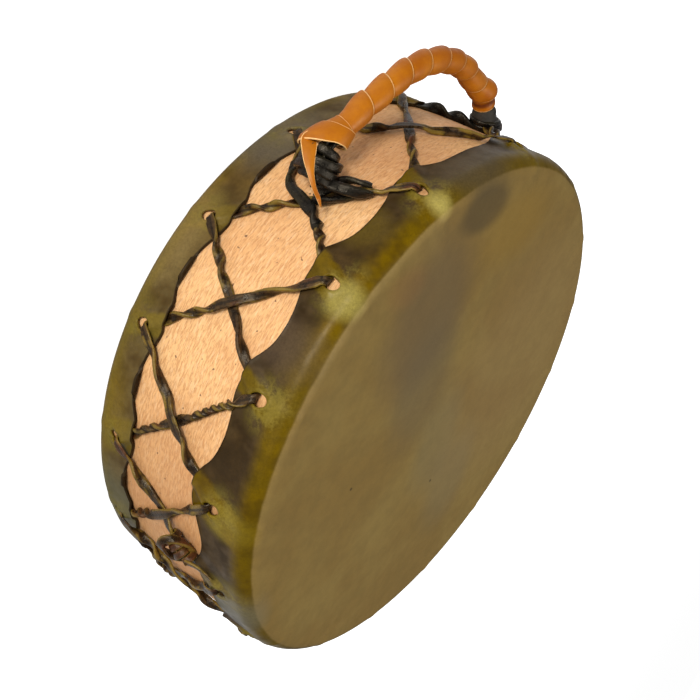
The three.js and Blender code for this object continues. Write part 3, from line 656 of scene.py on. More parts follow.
def smooth_loop(angles, values, at):
    """A smooth curve through values at rising angles that closes after a full turn, read at other angles."""
    angles, values = np.asarray(angles, float), np.asarray(values, float)
    known = np.concatenate([angles[-3:] - 360, angles, angles[:3] + 360])
    heights = np.concatenate([values[-3:], values, values[:3]])
    slopes = np.gradient(heights, known)
    wanted = (np.asarray(at, float) - angles[0]) % 360 + angles[0]
    i = np.clip(np.searchsorted(known, wanted, side="right") - 1, 0, len(known) - 2)
    step = known[i + 1] - known[i]
    t = (wanted - known[i]) / step
    return ((1 + 2 * t) * (1 - t) ** 2 * heights[i] + t * (1 - t) ** 2 * step * slopes[i]
            + t * t * (3 - 2 * t) * heights[i + 1] + t * t * (t - 1) * step * slopes[i + 1])


def depth_at(head, at):
    """Depth of the holes' line below the head's face, at any angle."""
    ks = range(COLUMN_COUNT)
    return smooth_loop([column_angle(k) for k in ks], [hole_depth(head, k) for k in ks], at)


print("front holes at", [round(column_angle(k), 1) for k in range(COLUMN_COUNT)])

# %% [markdown]
# The skirt's edge is long where a tab of hide stands round a hole, and shorter between.

# %% Skirt edges
TAB_SHARES = [(-8.6, 0.2), (-5.6, 0.8), (-1.9, 1.0), (1.9, 0.85), (4.9, 0.35)]
MID_SPAN_STEP = 5.4


def tab_stations(head):
    """Angles and edge depths that shape a skirt's tabs."""
    stations = []
    for k in range(COLUMN_COUNT):
        here, there = column_angle(k), column_angle(k + 1)
        stations += [(here + offset, share) for offset, share in TAB_SHARES]
        start, end = here + TAB_SHARES[-1][0], there + TAB_SHARES[0][0]
        count = max(2, math.ceil((end - start) / MID_SPAN_STEP))
        stations += [(start + (end - start) * i / count, 0.0) for i in range(1, count)]
    stations.sort()
    angles = np.array([a for a, _ in stations])
    shares = np.array([s for _, s in stations])
    return angles, depth_at(head, angles) + head["margin"] - head["scallop"] * (1 - shares)


def edge_at(head, at):
    """Depth of the skirt's edge below the head's face, at any angle."""
    return smooth_loop(*tab_stations(head), at)


print("the front skirt is", round(float(edge_at(FRONT, column_angle(2))), 1), "mm deep at a hole")

# %% [markdown]
# ## The heads
# A head is one disc of rawhide put on wet, turned down over the hoop's edge and pulled tight by the lace as
# it dries. A mesh that shows this needs even rows of faces that run out from the middle, over the shoulder
# and down the skirt, with rounder, closer rows about each hole. A boolean cut would leave a ragged rim, so
# the grid itself is bent round each hole: a square patch of it is pulled into rings, the middle block
# becomes the hole, and its faces are left out. A Solidify modifier then gives the hide its thickness.

# %% Spokes of the grid, and places on the hide
FLAT_RADIUS = HOOP_RADIUS - HOOP_EDGE_ROUND
SHOULDER_ROUND = HOOP_EDGE_ROUND + HEAD_STACK
SHOULDER_LENGTH = SHOULDER_ROUND * math.pi / 2
PATCH_CELL = 0.8
PATCH_CELLS = 8
HOLE_CELLS = 5
HOLE_SQUEEZE = 0.74
PATCH_HALF = PATCH_CELL * PATCH_CELLS
FACE_ROWS = 18
SHOULDER_ROWS = 14
EDGE_ROWS = 9
SPAN_CELLS = 22
LACE_FLAT = 1.6
LACE_LIFT = LACE_FLAT + SEAT_GAP


def along_from_depth(depth):
    """Distance along the hide from the flat face's edge, for a depth below the shoulder."""
    return depth - SHOULDER_ROUND + SHOULDER_LENGTH


def grid_angles():
    """Angles of the grid's spokes, and each one's number of cells from its nearest column if in a patch."""
    angles, cells = [], []
    arc = math.degrees(PATCH_CELL / SKIN_RADIUS)
    for k in range(COLUMN_COUNT):
        here, there = column_angle(k), column_angle(k + 1)
        for i in range(-PATCH_CELLS, PATCH_CELLS + 1):
            angles.append(here + i * arc)
            cells.append(i)
        start, end = here + PATCH_CELLS * arc, there - PATCH_CELLS * arc
        for i in range(1, SPAN_CELLS):
            angles.append(start + (end - start) * i / SPAN_CELLS)
            cells.append(99)
    return np.array(angles), np.array(cells)


def hide_place(head, angle, along, lift):
    """A place on the head's outside: along is the distance from the flat face's edge, following the hide."""
    turn = np.clip(along / SHOULDER_ROUND, 0, math.pi / 2)
    radius = FLAT_RADIUS + np.minimum(along, 0) + SHOULDER_ROUND * np.sin(turn) + lift * np.sin(turn)
    depth = SHOULDER_ROUND * (1 - np.cos(turn)) + np.maximum(along - SHOULDER_LENGTH, 0) - lift * np.cos(turn)
    return polar(angle, radius, head["face"] - head["up"] * depth)


print("the grid has", len(grid_angles()[0]), "spokes")

# %% [markdown]
# ## How the hide lies
# Wet hide takes the shape of what is under it. It bulges over the lace below each hole, pulls up into a low
# rim round the hole, creases above it, and lifts a little at its cut edge. Each of these is a small height
# added to the plain form. The same pass keeps masks for the colours, which follow the stretching.

# %% How the hide is lifted
LACE_LEAN = 0.79
BULGE_HALF = 3.0
BULGE_FALL = 5.0
RIM_HEIGHT = 0.45
RIM_WIDTH = 1.3
WRINKLE_STEP = 1.7
WRINKLE_HEIGHT = 0.22
TONGUE_HALVES = [8.0, 6.0, 7.5, 6.0, 10.5, 8.0]
WRINKLES = {"front_head": [], "back_head": [(161.5, 4.5, 22.5, 6.0), (127.0, 3.0, 21.0, 5.0)]}
BULGE_TOP = (-6.5, 1.0)
HALO_HALVES = (1.5, 1.25)
HALO_RISE = 5
HALO_FADE = (3.5, 12.5)
TONGUE_LEAN = 0.35
CREASE_HEIGHT = 0.35
CREASE_HALF = 3.2
CREASE_FADE = (2, 7)
LIP_HEIGHT = 0.35
LIP_WIDTH = 0.9


def hide_lift(head, angle, along):
    """Height of the hide above its plain form, its nearness to holes and their columns, and its edge."""
    total = np.zeros(np.shape(angle))
    near = np.zeros(np.shape(angle))
    tongue = np.zeros(np.shape(angle))
    edge = along_from_depth(edge_at(head, angle))
    for k in range(COLUMN_COUNT):
        sideways = np.radians((angle - column_angle(k) + 180) % 360 - 180) * SKIN_RADIUS
        down = along - along_from_depth(hole_depth(head, k))
        ridge = 1 - smooth_share(np.abs(sideways + LACE_LEAN * np.maximum(down, -2)), BULGE_HALF,
                                 BULGE_HALF + BULGE_FALL)
        total += LACE_LIFT * ridge * smooth_share(down, *BULGE_TOP)
        away = np.hypot(sideways / HOLE_SQUEEZE, down)
        total += RIM_HEIGHT * np.exp(-((away - HOLE_RADIUS - 0.9) / RIM_WIDTH) ** 2)
        spread = np.hypot(sideways / HALO_HALVES[0], (down + HALO_RISE) / HALO_HALVES[1])
        near = np.maximum(near, 1 - smooth_share(spread, *HALO_FADE))
        half = TONGUE_HALVES[k % len(TONGUE_HALVES)]
        slanted = np.abs(sideways + TONGUE_LEAN * down)
        tongue = np.maximum(tongue, 1 - smooth_share(slanted, 0.5 * half, 1.7 * half))
        crease = np.exp(-((sideways / CREASE_HALF) ** 2)) * smooth_share(-down, *CREASE_FADE)
        total += CREASE_HEIGHT * crease * (along > 0)
    for centre, half, depth, tall in WRINKLES[head["name"]]:
        sideways = (angle - centre + 180) % 360 - 180
        low = along - along_from_depth(depth)
        patch = np.exp(-((sideways / half) ** 2) - (low / tall) ** 2)
        phase = np.radians(sideways) * SKIN_RADIUS / WRINKLE_STEP + 0.12 * low
        total += WRINKLE_HEIGHT * patch * np.cos(2 * math.pi * phase)
    total += LIP_HEIGHT * np.exp(-((edge - along) / LIP_WIDTH) ** 2)
    return total, near, tongue, edge


print("the lace lifts the hide by", LACE_LIFT, "mm")

# %% [markdown]
# ## The grid of a head
# Rows are circles, or follow the line of the holes. In a square patch round each hole, a point's row and
# column give its ring and its direction. The inner rings are drawn onto the hole's oval, and the outer ones
# go back to the square by steps, so that the patch meets its neighbours.

# %% Rows, and rings round the holes
FACE_CROWDING = 0.8
EDGE_CROWDING = 1.4


def grid_rows(head, angles):
    """Distances along the hide for every row and spoke, and the number of the patches' first row."""
    holes = along_from_depth(depth_at(head, angles))
    edges = along_from_depth(edge_at(head, angles))
    inward = [(1 - (i + 1) / FACE_ROWS) ** FACE_CROWDING for i in range(FACE_ROWS - 1)]
    rows = [np.full(len(angles), -FLAT_RADIUS * share) for share in inward]
    rows += [(holes - PATCH_HALF) * i / SHOULDER_ROWS for i in range(SHOULDER_ROWS)]
    first_patch_row = len(rows)
    rows += [holes + PATCH_CELL * i for i in range(-PATCH_CELLS, PATCH_CELLS + 1)]
    low = holes + PATCH_HALF
    outward = [1 - (1 - i / EDGE_ROWS) ** EDGE_CROWDING for i in range(1, EDGE_ROWS + 1)]
    rows += [low + (edges - low) * share for share in outward]
    return np.array(rows), first_patch_row


def ring_holes(angle, along, cells, first_patch_row):
    """Moves the patches' points into rings round the holes, and says which points are inside a hole."""
    in_hole = np.zeros(along.shape, bool)
    for row in range(-PATCH_CELLS, PATCH_CELLS + 1):
        index = first_patch_row + row + PATCH_CELLS
        for j in np.flatnonzero(np.abs(cells) <= PATCH_CELLS):
            column = cells[j]
            ring = max(abs(row), abs(column))
            if ring == 0 or ring == PATCH_CELLS:
                in_hole[index, j] = ring < HOLE_CELLS
                continue
            direction = np.array([column, row]) / math.hypot(column, row)
            square = np.array([column, row]) * PATCH_CELLS / ring * PATCH_CELL
            share = max(0.0, (ring - HOLE_CELLS) / (PATCH_CELLS - HOLE_CELLS))
            oval = direction * [HOLE_SQUEEZE, 1] * HOLE_RADIUS * min(1.0, ring / HOLE_CELLS)
            target = oval * (1 - share) + square * share
            angle[index, j] += math.degrees((target[0] - column * PATCH_CELL) / SKIN_RADIUS)
            along[index, j] += target[1] - row * PATCH_CELL
            in_hole[index, j] = ring < HOLE_CELLS
    return in_hole


print("a ring of", 8 * HOLE_CELLS, "points goes round each hole")

# %% [markdown]
# Faces join neighbours in the grid, except inside a hole.

# %% Faces of the grid
def grid_faces(in_hole, up):
    """Faces between the rows, but for those in a hole, and a fan from the first row to the middle point."""
    rows, count = in_hole.shape
    faces = []
    for i in range(rows - 1):
        for j in range(count):
            k = (j + 1) % count
            if not (in_hole[i, j] or in_hole[i + 1, j] or in_hole[i, k] or in_hole[i + 1, k]):
                quad = (i * count + j, i * count + k, (i + 1) * count + k, (i + 1) * count + j)
                faces.append(quad if up < 0 else quad[::-1])
    for j in range(count):
        fan = (rows * count, j, (j + 1) % count)
        faces.append(fan if up > 0 else fan[::-1])
    return faces


print("a plain grid of 3 rows and 4 spokes gives", len(grid_faces(np.zeros((3, 4), bool), 1)), "faces")

# %% [markdown]
# A head is then put together: soft lumps are added to the skirt, points that no face uses are left out, the
# masks are kept on the mesh, and the hide gets its thickness inwards.

# %% Build a head
SKIRT_FROM = (6, 16)
BROAD_LUMPS = (0.45, 21)
SMALL_LUMPS = (0.16, 6)
EDGE_LUMPS = (0.5, 13)
EDGE_LUMPS_FADE = 8
EDGE_MASK_WIDTH = 1.1


def head_piece(head, seed):
    """One head as a thick sheet with its holes, skirt and masks."""
    angles, cells = grid_angles()
    along, first_patch_row = grid_rows(head, angles)
    angle = np.tile(angles, (len(along), 1))
    in_hole = ring_holes(angle, along, cells, first_patch_row)
    lift, near, tongue, edge = hide_lift(head, angle, along)
    plain = hide_place(head, angle, along, 0)
    on_skirt = smooth_share(along, *SKIRT_FROM)
    broad, small, low = (height * lumps(plain, size, seed + i)
                         for i, (height, size) in enumerate((BROAD_LUMPS, SMALL_LUMPS, EDGE_LUMPS)))
    lift += on_skirt * (broad + small)
    lift += smooth_share(edge - along, EDGE_LUMPS_FADE, 0) * on_skirt * np.maximum(low, 0)
    lift = np.maximum(lift, 0)
    points = np.vstack([hide_place(head, angle, along, lift).reshape(-1, 3), [0, 0, head["face"]]])
    faces = grid_faces(in_hole, head["up"])
    keep = {
        "along": np.append(along.ravel(), -FLAT_RADIUS),
        "near_hole": np.append(near.ravel(), 0),
        "tongue": np.append(tongue.ravel(), 0),
        "edge": np.append(np.exp(-np.maximum(edge - along, 0) / EDGE_MASK_WIDTH).ravel(), 0),
    }
    used = sorted({v for face in faces for v in face})
    renumber = {old: new for new, old in enumerate(used)}
    faces = [tuple(renumber[v] for v in face) for face in faces]
    piece = make_piece("hide_" + head["name"], points[used], faces, {n: v[used] for n, v in keep.items()})
    thick = piece.modifiers.new("thickness", "SOLIDIFY")
    thick.thickness = HIDE_THICKNESS * MM
    thick.offset = -1
    thick.use_even_offset = False
    return settle(piece)


front_piece = head_piece(FRONT, 1)
back_piece = head_piece(BACK, 7)
print("front head in mm:", [round(v / MM, 1) for v in front_piece.dimensions])

# %% [markdown]
# ## Rawhide
# The heads are the drum's most varied surface. The face is a dull olive brown with smoky clouds. The
# shoulder is a stronger olive yellow, paler and mottled round each hole, where the hide was stretched. The
# skirts go dark brown to grey, with a darker edge. The mesh keeps how far along the hide each point is, how
# near a hole and how near the edge, so the tree can lay these zones with soft noisy borders. One node group
# mottles any colour, and all the skins of the drum share it.

# %% A node group that mottles a skin
def mottle_group():
    """Two masks for a blotched skin, a soft one and a fine one, from 0 to 1."""
    group = bpy.data.node_groups.new("mottle", "ShaderNodeTree")
    add_sockets(group, "INPUT", "Vector", "Place")
    add_sockets(group, "INPUT", "Float", "Soft Scale", "Fine Scale")
    add_sockets(group, "OUTPUT", "Float", "Soft", "Fine", "Grain")
    given = group.nodes.new("NodeGroupInput").outputs
    soft = noise_of(group, given["Place"], given["Soft Scale"], detail=5, distortion=0.6)
    fine = noise_of(group, given["Place"], given["Fine Scale"], detail=6, roughness=0.65)
    grain = noise_of(group, given["Place"], 900.0, detail=4, roughness=0.7)
    result = group.nodes.new("NodeGroupOutput")
    group.links.new(ramp(group, soft, 0.36, 0.64), result.inputs["Soft"])
    group.links.new(ramp(group, fine, 0.34, 0.68), result.inputs["Fine"])
    group.links.new(grain, result.inputs["Grain"])
    return group


MOTTLE = mottle_group()


def mottled(tree, where, soft_scale, fine_scale):
    """The mottling's masks for one finish, at its own two scales."""
    made = tree.nodes.new("ShaderNodeGroup")
    made.node_tree = MOTTLE
    made.inputs["Soft Scale"].default_value = soft_scale
    made.inputs["Fine Scale"].default_value = fine_scale
    tree.links.new(where, made.inputs["Place"])
    return made.outputs


print("mottling puts out", [s.name for s in MOTTLE.interface.items_tree if s.in_out == "OUTPUT"])

# %% [markdown]
# The zones are laid from the middle outwards: face, shoulder, then dark skirt with a tongue of shoulder
# colour at each hole. Over these come the stains and painted highlights, the pale halo round each hole and
# the dark cut edge, and fine grit is multiplied over all. The gloss is tinted warm, as a pure white shine
# would wash the browns out.

# %% The rawhide's tree
WARM_TINT = (1.0, 0.84, 0.62, 1.0)
SHOULDER_FROM = (5.2, 6.8)
SKIRT_COLOUR_FROM = (16.0, 24.0)
SKIRT_DOME = (0.12, 0.6)
CUT_EDGE = (0.45, 0.95)
FLAT_UNTIL = (2.0, 8.0)
HIDE_RELIEF = 0.4 * MM


def rawhide(name, colours, stains_and_highlights, halo_share):
    """A head's finish, from its colours and its list of stains and painted highlights."""
    material, tree, shader, where = new_material(name)
    tones = {zone: linear(*colour) for zone, colour in colours.items()}
    marks = mottled(tree, where, 13.0, 95.0)
    drift = noise_of(tree, where, 9.0, detail=4)
    fray = noise_of(tree, where, 60.0, detail=6, roughness=0.62)
    face = mix_colours(tree, marks["Soft"], tones["face"], tones["face_warm"])
    face = lay_over(tree, face, tones["face_dark"], marks["Fine"], 0.3)
    along = attribute(tree, "along")
    shoulder = mix_colours(tree, marks["Fine"], tones["shoulder"], tones["shoulder_dark"])
    shoulder = lay_over(tree, shoulder, tones["shoulder_green"], marks["Soft"], 0.7)
    dark = mix_colours(tree, marks["Soft"], tones["skirt"], tones["skirt_grey"])
    dark = mix_colours(tree, marks["Fine"], dark, tones["skirt_dark"])
    creased = math_node(tree, "MULTIPLY_ADD", fray, 2.0, along)
    skin = mix_colours(tree, ramp(tree, creased, *SHOULDER_FROM), face, shoulder)
    low = math_node(tree, "MULTIPLY_ADD", fray, 9.0, along)
    ragged = noise_of(tree, where, 330.0, detail=4, roughness=0.7)
    torn = math_node(tree, "MULTIPLY_ADD", ragged, 0.5, math_node(tree, "MULTIPLY", fray, 0.5))
    between = math_node(tree, "SUBTRACT", 1.5, math_node(tree, "ADD", torn, attribute(tree, "tongue")))
    dome = math_node(tree, "MULTIPLY", ramp(tree, between, *SKIRT_DOME), ramp(tree, low, *SKIRT_COLOUR_FROM))
    skin = lay_over(tree, skin, dark, dome, 0.95)
    # Stains, and pale patches that are painted highlights, laid as soft ovals.
    for laid_patch in stains_and_highlights:
        mask = cloud(tree, where, drift, laid_patch["at"], laid_patch["radii"], laid_patch["soft"])
        skin = lay_over(tree, skin, laid_patch["colour"], mask, laid_patch["strength"])
    halo = math_node(tree, "MULTIPLY", attribute(tree, "near_hole"), ramp(tree, marks["Fine"], 0.1, 0.9))
    skin = lay_over(tree, skin, tones["halo"], halo, halo_share)
    skin = lay_over(tree, skin, tones["edge"], ramp(tree, attribute(tree, "edge"), *CUT_EDGE), 0.85)
    flat = math_node(tree, "SUBTRACT", 1.0, ramp(tree, along, *FLAT_UNTIL))
    grit = math_node(tree, "SUBTRACT", noise_of(tree, where, 760.0, detail=3, roughness=0.75), 0.5)
    depth = math_node(tree, "MULTIPLY_ADD", flat, -0.75, 1.1)
    shade = math_node(tree, "MULTIPLY_ADD", grit, depth, 1.0)
    grey = add_node(tree, "ShaderNodeCombineXYZ", X=shade, Y=shade, Z=shade)
    skin = mix_colours(tree, 1.0, skin, grey.outputs[0], blend="MULTIPLY")
    even = math_node(tree, "MULTIPLY_ADD", flat, 0.14, 0.33)
    polish = math_node(tree, "MULTIPLY_ADD", marks["Fine"], 0.16, even)
    set_surface(tree, shader, skin, polish, 0.15, WARM_TINT)
    height = math_node(tree, "MULTIPLY_ADD", marks["Grain"], 0.25, noise_of(tree, where, 130.0, detail=5))
    add_bump(tree, shader, height, HIDE_RELIEF, 0.4)
    return material


print("the shoulder's colour starts", SHOULDER_FROM[0], "mm past the flat face")

# %% [markdown]
# Stains and painted highlights are oval patches with a soft, noisy border. One on the face is placed by its
# distance from the middle, and one on the side by its angle and depth.

# %% Helpers for stains and painted highlights
def side_patch(head, angle, depth, radii, strength, colour, soft=0.5):
    """A patch on a skirt, below its head's face, used for stains and for painted highlights. Radii run round
    the drum, through the hide and down it.
    """
    around, through, axial = radii
    x = math.hypot(around * math.sin(math.radians(angle)), through * math.cos(math.radians(angle)))
    y = math.hypot(around * math.cos(math.radians(angle)), through * math.sin(math.radians(angle)))
    at = polar(angle, SKIN_RADIUS - 1, head["face"] - head["up"] * depth)
    return {"at": at, "radii": (x, y, axial), "strength": strength, "colour": linear(*colour), "soft": soft}


def face_stain(x, y, radii, strength, colour, soft=0.5):
    """A stain on the front face."""
    return {"at": (x, y, DRUM_HEIGHT), "radii": (*radii, 30), "strength": strength, "colour": linear(*colour),
            "soft": soft}


print("stains can lie on the face or on a skirt")

# %% [markdown]
# The stains and painted highlights were placed where the picture shows them, and more stains were invented in
# the same manner elsewhere.

# %% Colours, stains and painted highlights of the two heads
FRONT_COLOURS = {
    "face": (132, 109, 58), "face_warm": (124, 99, 50), "face_dark": (99, 83, 48),
    "shoulder": (106, 81, 0), "shoulder_dark": (72, 52, 0), "shoulder_green": (88, 70, 5),
    "skirt": (60, 42, 15), "skirt_grey": (74, 58, 38), "skirt_dark": (36, 22, 5),
    "halo": (150, 132, 54), "edge": (34, 22, 12),
}
BACK_COLOURS = {
    **FRONT_COLOURS, "shoulder": (116, 92, 26), "shoulder_dark": (82, 62, 16),
    "shoulder_green": (108, 92, 36), "skirt": (96, 74, 34), "skirt_grey": (98, 82, 48),
    "skirt_dark": (68, 50, 22), "halo": (126, 112, 40),
}
FRONT_STAINS_AND_HIGHLIGHTS = [
    face_stain(-42, 82, (30, 44), 0.62, (96, 79, 56)),
    face_stain(-30, 38, (24, 40), 0.5, (99, 86, 62)),
    face_stain(-14, 134, (22, 13), 0.75, (80, 66, 42), 0.3),
    face_stain(2, -14, (20, 34), 0.35, (108, 100, 74)),
    face_stain(32, -60, (22, 36), 0.35, (112, 102, 76)),
    face_stain(24, 116, (30, 20), 0.45, (134, 104, 40)),
    face_stain(-70, 108, (13, 10), 0.35, (122, 88, 52)),
    face_stain(80, 10, (70, 80), 0.25, (138, 112, 76)),
    face_stain(-79, -7, (0.9, 0.9), 0.8, (50, 40, 24), 0.2),
    face_stain(8, -49, (1.0, 0.8), 0.8, (50, 40, 24), 0.2),
    side_patch(FRONT, 97, 10.4, (26, 12, 14), 0.75, (78, 66, 46)),
    side_patch(FRONT, 145, 10.4, (14, 9, 10), 0.6, (90, 72, 38)),
    side_patch(FRONT, 203, 15.4, (22, 10, 18), 0.6, (108, 104, 84)),
    side_patch(FRONT, 134, 7.4, (8, 8, 8), 0.5, (168, 156, 84)),
    # Painted highlight: a small pale spot on the front shoulder above a hole.
    side_patch(FRONT, 109.6, 4.4, (5, 6, 6), 0.55, (206, 190, 108), 0.8),
    side_patch(FRONT, 121, 25.4, (13, 10, 15), 0.7, (88, 70, 16)),
    side_patch(FRONT, 145, 24.4, (12, 10, 13), 0.6, (74, 59, 45)),
    side_patch(FRONT, 167, 25.4, (9, 10, 16), 0.65, (46, 32, 12)),
    side_patch(FRONT, 179, 15.4, (9, 8, 14), 0.5, (126, 106, 26)),
]
BACK_STAINS_AND_HIGHLIGHTS = [
    # Painted highlight: a pale olive stretch high on the back skirt, painted in as sheen.
    side_patch(BACK, 138, 8, (34, 12, 14), 0.45, (140, 118, 70)),
    side_patch(BACK, 112, 12, (30, 12, 24), 0.65, (98, 90, 74)),
    side_patch(BACK, 196, 10, (30, 12, 24), 0.5, (96, 98, 70)),
    side_patch(BACK, 172, 8, (22, 12, 12), 0.45, (124, 100, 22)),
]
FRONT_HIDE = rawhide("front_rawhide", FRONT_COLOURS, FRONT_STAINS_AND_HIGHLIGHTS, halo_share=0.4)
BACK_HIDE = rawhide("back_rawhide", BACK_COLOURS, BACK_STAINS_AND_HIGHLIGHTS, halo_share=0.35)
dress(front_piece, FRONT_HIDE, "drum", "head_hide", "front_head")
dress(back_piece, BACK_HIDE, "drum", "head_hide", "back_head")

# %% [markdown]
# ## A strip laid along a route
# Laces, strands and knots are all rawhide strips that follow a path, twisting and folding on the way. Each
# is a line of points, and each point carries three vectors: its place, half the strip's width and half its
# thickness. One Geometry Nodes tree turns any such line into a strip: it carries a round section along the
# line and then sets every point from those vectors. A groove down both faces gives the look of a wet strip
# folded in two, and a seeded noise takes off the factory evenness.

# %% A node tree that lays a strip along its route
def strip_tree():
    """A tree that carries a round section along a line and shapes it from each point's kept vectors."""
    tree = bpy.data.node_groups.new("strip_on_route", "GeometryNodeTree")
    add_sockets(tree, "OUTPUT", "Geometry", "Geometry")
    add_sockets(tree, "INPUT", "Geometry", "Route")
    add_sockets(tree, "INPUT", "Int", "Section Points")
    add_sockets(tree, "INPUT", "Float", "Groove", "Squareness", "Lump Size", "Lump Height", "Seed")
    add_sockets(tree, "INPUT", "Material", "Material")
    given = tree.nodes.new("NodeGroupInput").outputs
    line = add_node(tree, "GeometryNodeMeshToCurve", Mesh=given["Route"])
    circle = add_node(tree, "GeometryNodeCurvePrimitiveCircle",
                      Resolution=given["Section Points"], Radius=1.0)
    place = tree.nodes.new("GeometryNodeInputPosition").outputs[0]
    section = store(tree, circle.outputs["Curve"], "section", place)
    tube = add_node(tree, "GeometryNodeCurveToMesh",
                    Curve=line.outputs[0], Profile_Curve=section, Fill_Caps=True)
    parts = add_node(tree, "ShaderNodeSeparateXYZ", Vector=named(tree, "section"))
    shaped = []
    for axis in "XY":
        size = math_node(tree, "ABSOLUTE", parts.outputs[axis])
        grown = math_node(tree, "POWER", size, given["Squareness"])
        shaped.append(math_node(tree, "MULTIPLY", grown, math_node(tree, "SIGN", parts.outputs[axis])))
    wide, thick = shaped
    inward = math_node(tree, "SUBTRACT", 1.0, math_node(tree, "ABSOLUTE", wide))
    ditch = math_node(tree, "POWER", inward, 2.0)
    keep = math_node(tree, "SUBTRACT", 1.0, math_node(tree, "MULTIPLY", ditch, given["Groove"]))
    thick = math_node(tree, "MULTIPLY", thick, keep)
    side = vector_math(tree, "SCALE", named(tree, "side"), scale=wide)
    lift = vector_math(tree, "SCALE", named(tree, "lift"), scale=thick)
    offset = vector_math(tree, "ADD", side, lift)
    centre = named(tree, "centre")
    shift = add_node(tree, "ShaderNodeCombineXYZ", X=given["Seed"], Y=given["Seed"])
    spot = vector_math(tree, "ADD", vector_math(tree, "ADD", centre, offset), shift.outputs[0])
    scale = math_node(tree, "DIVIDE", 1.0, given["Lump Size"])
    wave = add_node(tree, "ShaderNodeTexNoise", {"noise_dimensions": "3D"},
                    Vector=spot, Scale=scale, Detail=2.0)
    swing = math_node(tree, "SUBTRACT", wave.outputs[0], 0.5)
    height = math_node(tree, "MULTIPLY", swing, given["Lump Height"])
    bumps = vector_math(tree, "SCALE", vector_math(tree, "NORMALIZE", offset), scale=height)
    final = vector_math(tree, "ADD", vector_math(tree, "ADD", centre, offset), bumps)
    placed = add_node(tree, "GeometryNodeSetPosition", Geometry=tube.outputs[0], Position=final)
    rimmed = store(tree, placed.outputs[0], "rim", math_node(tree, "ABSOLUTE", wide), "FLOAT")
    return close_tree(tree, rimmed, given["Material"])


STRIP_TREE = strip_tree()
print("the strip's tree has", len(STRIP_TREE.nodes), "nodes")

# %% [markdown]
# A route starts as a line of places, the way the strip's face looks at each, its size and its twist. Cross
# products turn these into the three vectors. A piece's routes go into one mesh of loose lines, and the tree
# makes a strip of each.

# %% Routes, and strips made from them
def route_mesh(name, routes):
    """A mesh of lines that carries each point's place, half width and half thickness."""
    points, edges, values = [], [], {"centre": [], "side": [], "lift": []}
    for route in routes:
        first, count = len(points), len(route["at"])
        points.extend((route["at"] * MM).tolist())
        edges.extend((first + i, first + i + 1) for i in range(count - 1))
        if route.get("closed"):
            edges.append((first + count - 1, first))
        for label, key in (("centre", "at"), ("side", "side"), ("lift", "lift")):
            values[label].append(route[key] * MM)
    mesh = bpy.data.meshes.new(name)
    mesh.from_pydata(points, edges, [])
    for label, vectors in values.items():
        kept = mesh.attributes.new(label, "FLOAT_VECTOR", "POINT")
        kept.data.foreach_set("vector", np.vstack(vectors).astype(np.float32).ravel())
    return mesh


def strip_piece(name, routes, material, points=16, groove=0.45, squareness=0.8, lump=(3.0, 0.5), seed=1.0):
    """A piece made of one strip or several, each along its own route."""
    values = {
        "Section Points": points, "Groove": groove, "Squareness": squareness, "Lump Size": lump[0] * MM,
        "Lump Height": lump[1] * MM, "Seed": float(seed), "Material": material,
    }
    return run_tree(name, STRIP_TREE, values, route_mesh(name, routes))


def strip_frames(at, facing, width, thickness, twist):
    """A route from places, the way that the strip's face looks at each, its size and its twist in degrees."""
    ahead = unit(np.gradient(at, axis=0))
    facing = unit(facing - ahead * np.sum(facing * ahead, axis=1, keepdims=True))
    across = np.cross(facing, ahead)
    turn = np.radians(np.broadcast_to(twist, len(at)))[:, None]
    half_width = np.broadcast_to(width, len(at))[:, None] / 2
    half_thickness = np.broadcast_to(thickness, len(at))[:, None] / 2
    side = (across * np.cos(turn) + facing * np.sin(turn)) * half_width
    lift = (facing * np.cos(turn) - across * np.sin(turn)) * half_thickness
    return {"at": at, "side": side, "lift": lift}


print("helpers for strips are ready")

# %% [markdown]
# ## Wet-cut lace
# The lace dried dark brown to black with a gloss, with olive and reddish stretches where it was stretched
# thin. The strip's tree keeps how near a point is to the strip's edges. The finish reads that to paint shade
# into the groove and a painted highlight in olive along the edges, so one material serves every strip, and
# only its colours and gloss change from lace to knot to cuff.

# %% The lace's finish
LACE_RELIEF = 0.5 * MM


def lace_material(name, skins, olive_share, gloss, shine):
    """A strip's finish. Skins are its dark, brown and olive colours, and a lower gloss value is shinier."""
    material, tree, shader, where = new_material(name)
    dark, brown, olive = (linear(*skin) for skin in skins)
    marks = mottled(tree, where, 55.0, 330.0)
    base = mix_colours(tree, marks["Fine"], dark, brown)
    thin = ramp(tree, noise_of(tree, where, 85.0, detail=3), 0.52, 0.66)
    base = lay_over(tree, base, olive, thin, olive_share)
    red = ramp(tree, noise_of(tree, where, 47.0, detail=2), 0.56, 0.68)
    base = lay_over(tree, base, linear(88, 46, 24), red, olive_share)
    rim = attribute(tree, "rim")
    # Painted shade: the groove down the strip's middle is darkened.
    painted_groove_shade = math_node(tree, "SUBTRACT", 1.0, ramp(tree, rim, 0.08, 0.42))
    base = lay_over(tree, base, dark, painted_groove_shade, 0.85)
    # Painted highlight: olive laid along the strip's edges, where they would catch the light.
    painted_edge_highlight = math_node(tree, "MULTIPLY", ramp(tree, rim, 0.66, 0.98), ramp(tree, marks["Soft"], 0.2, 0.8))
    base = lay_over(tree, base, olive, painted_edge_highlight, olive_share)
    polish = math_node(tree, "MULTIPLY_ADD", marks["Fine"], 0.16, gloss)
    set_surface(tree, shader, base, polish, shine, WARM_TINT)
    height = math_node(tree, "ADD", noise_of(tree, where, 520.0, detail=4), marks["Grain"])
    add_bump(tree, shader, height, LACE_RELIEF, 0.5)
    return material


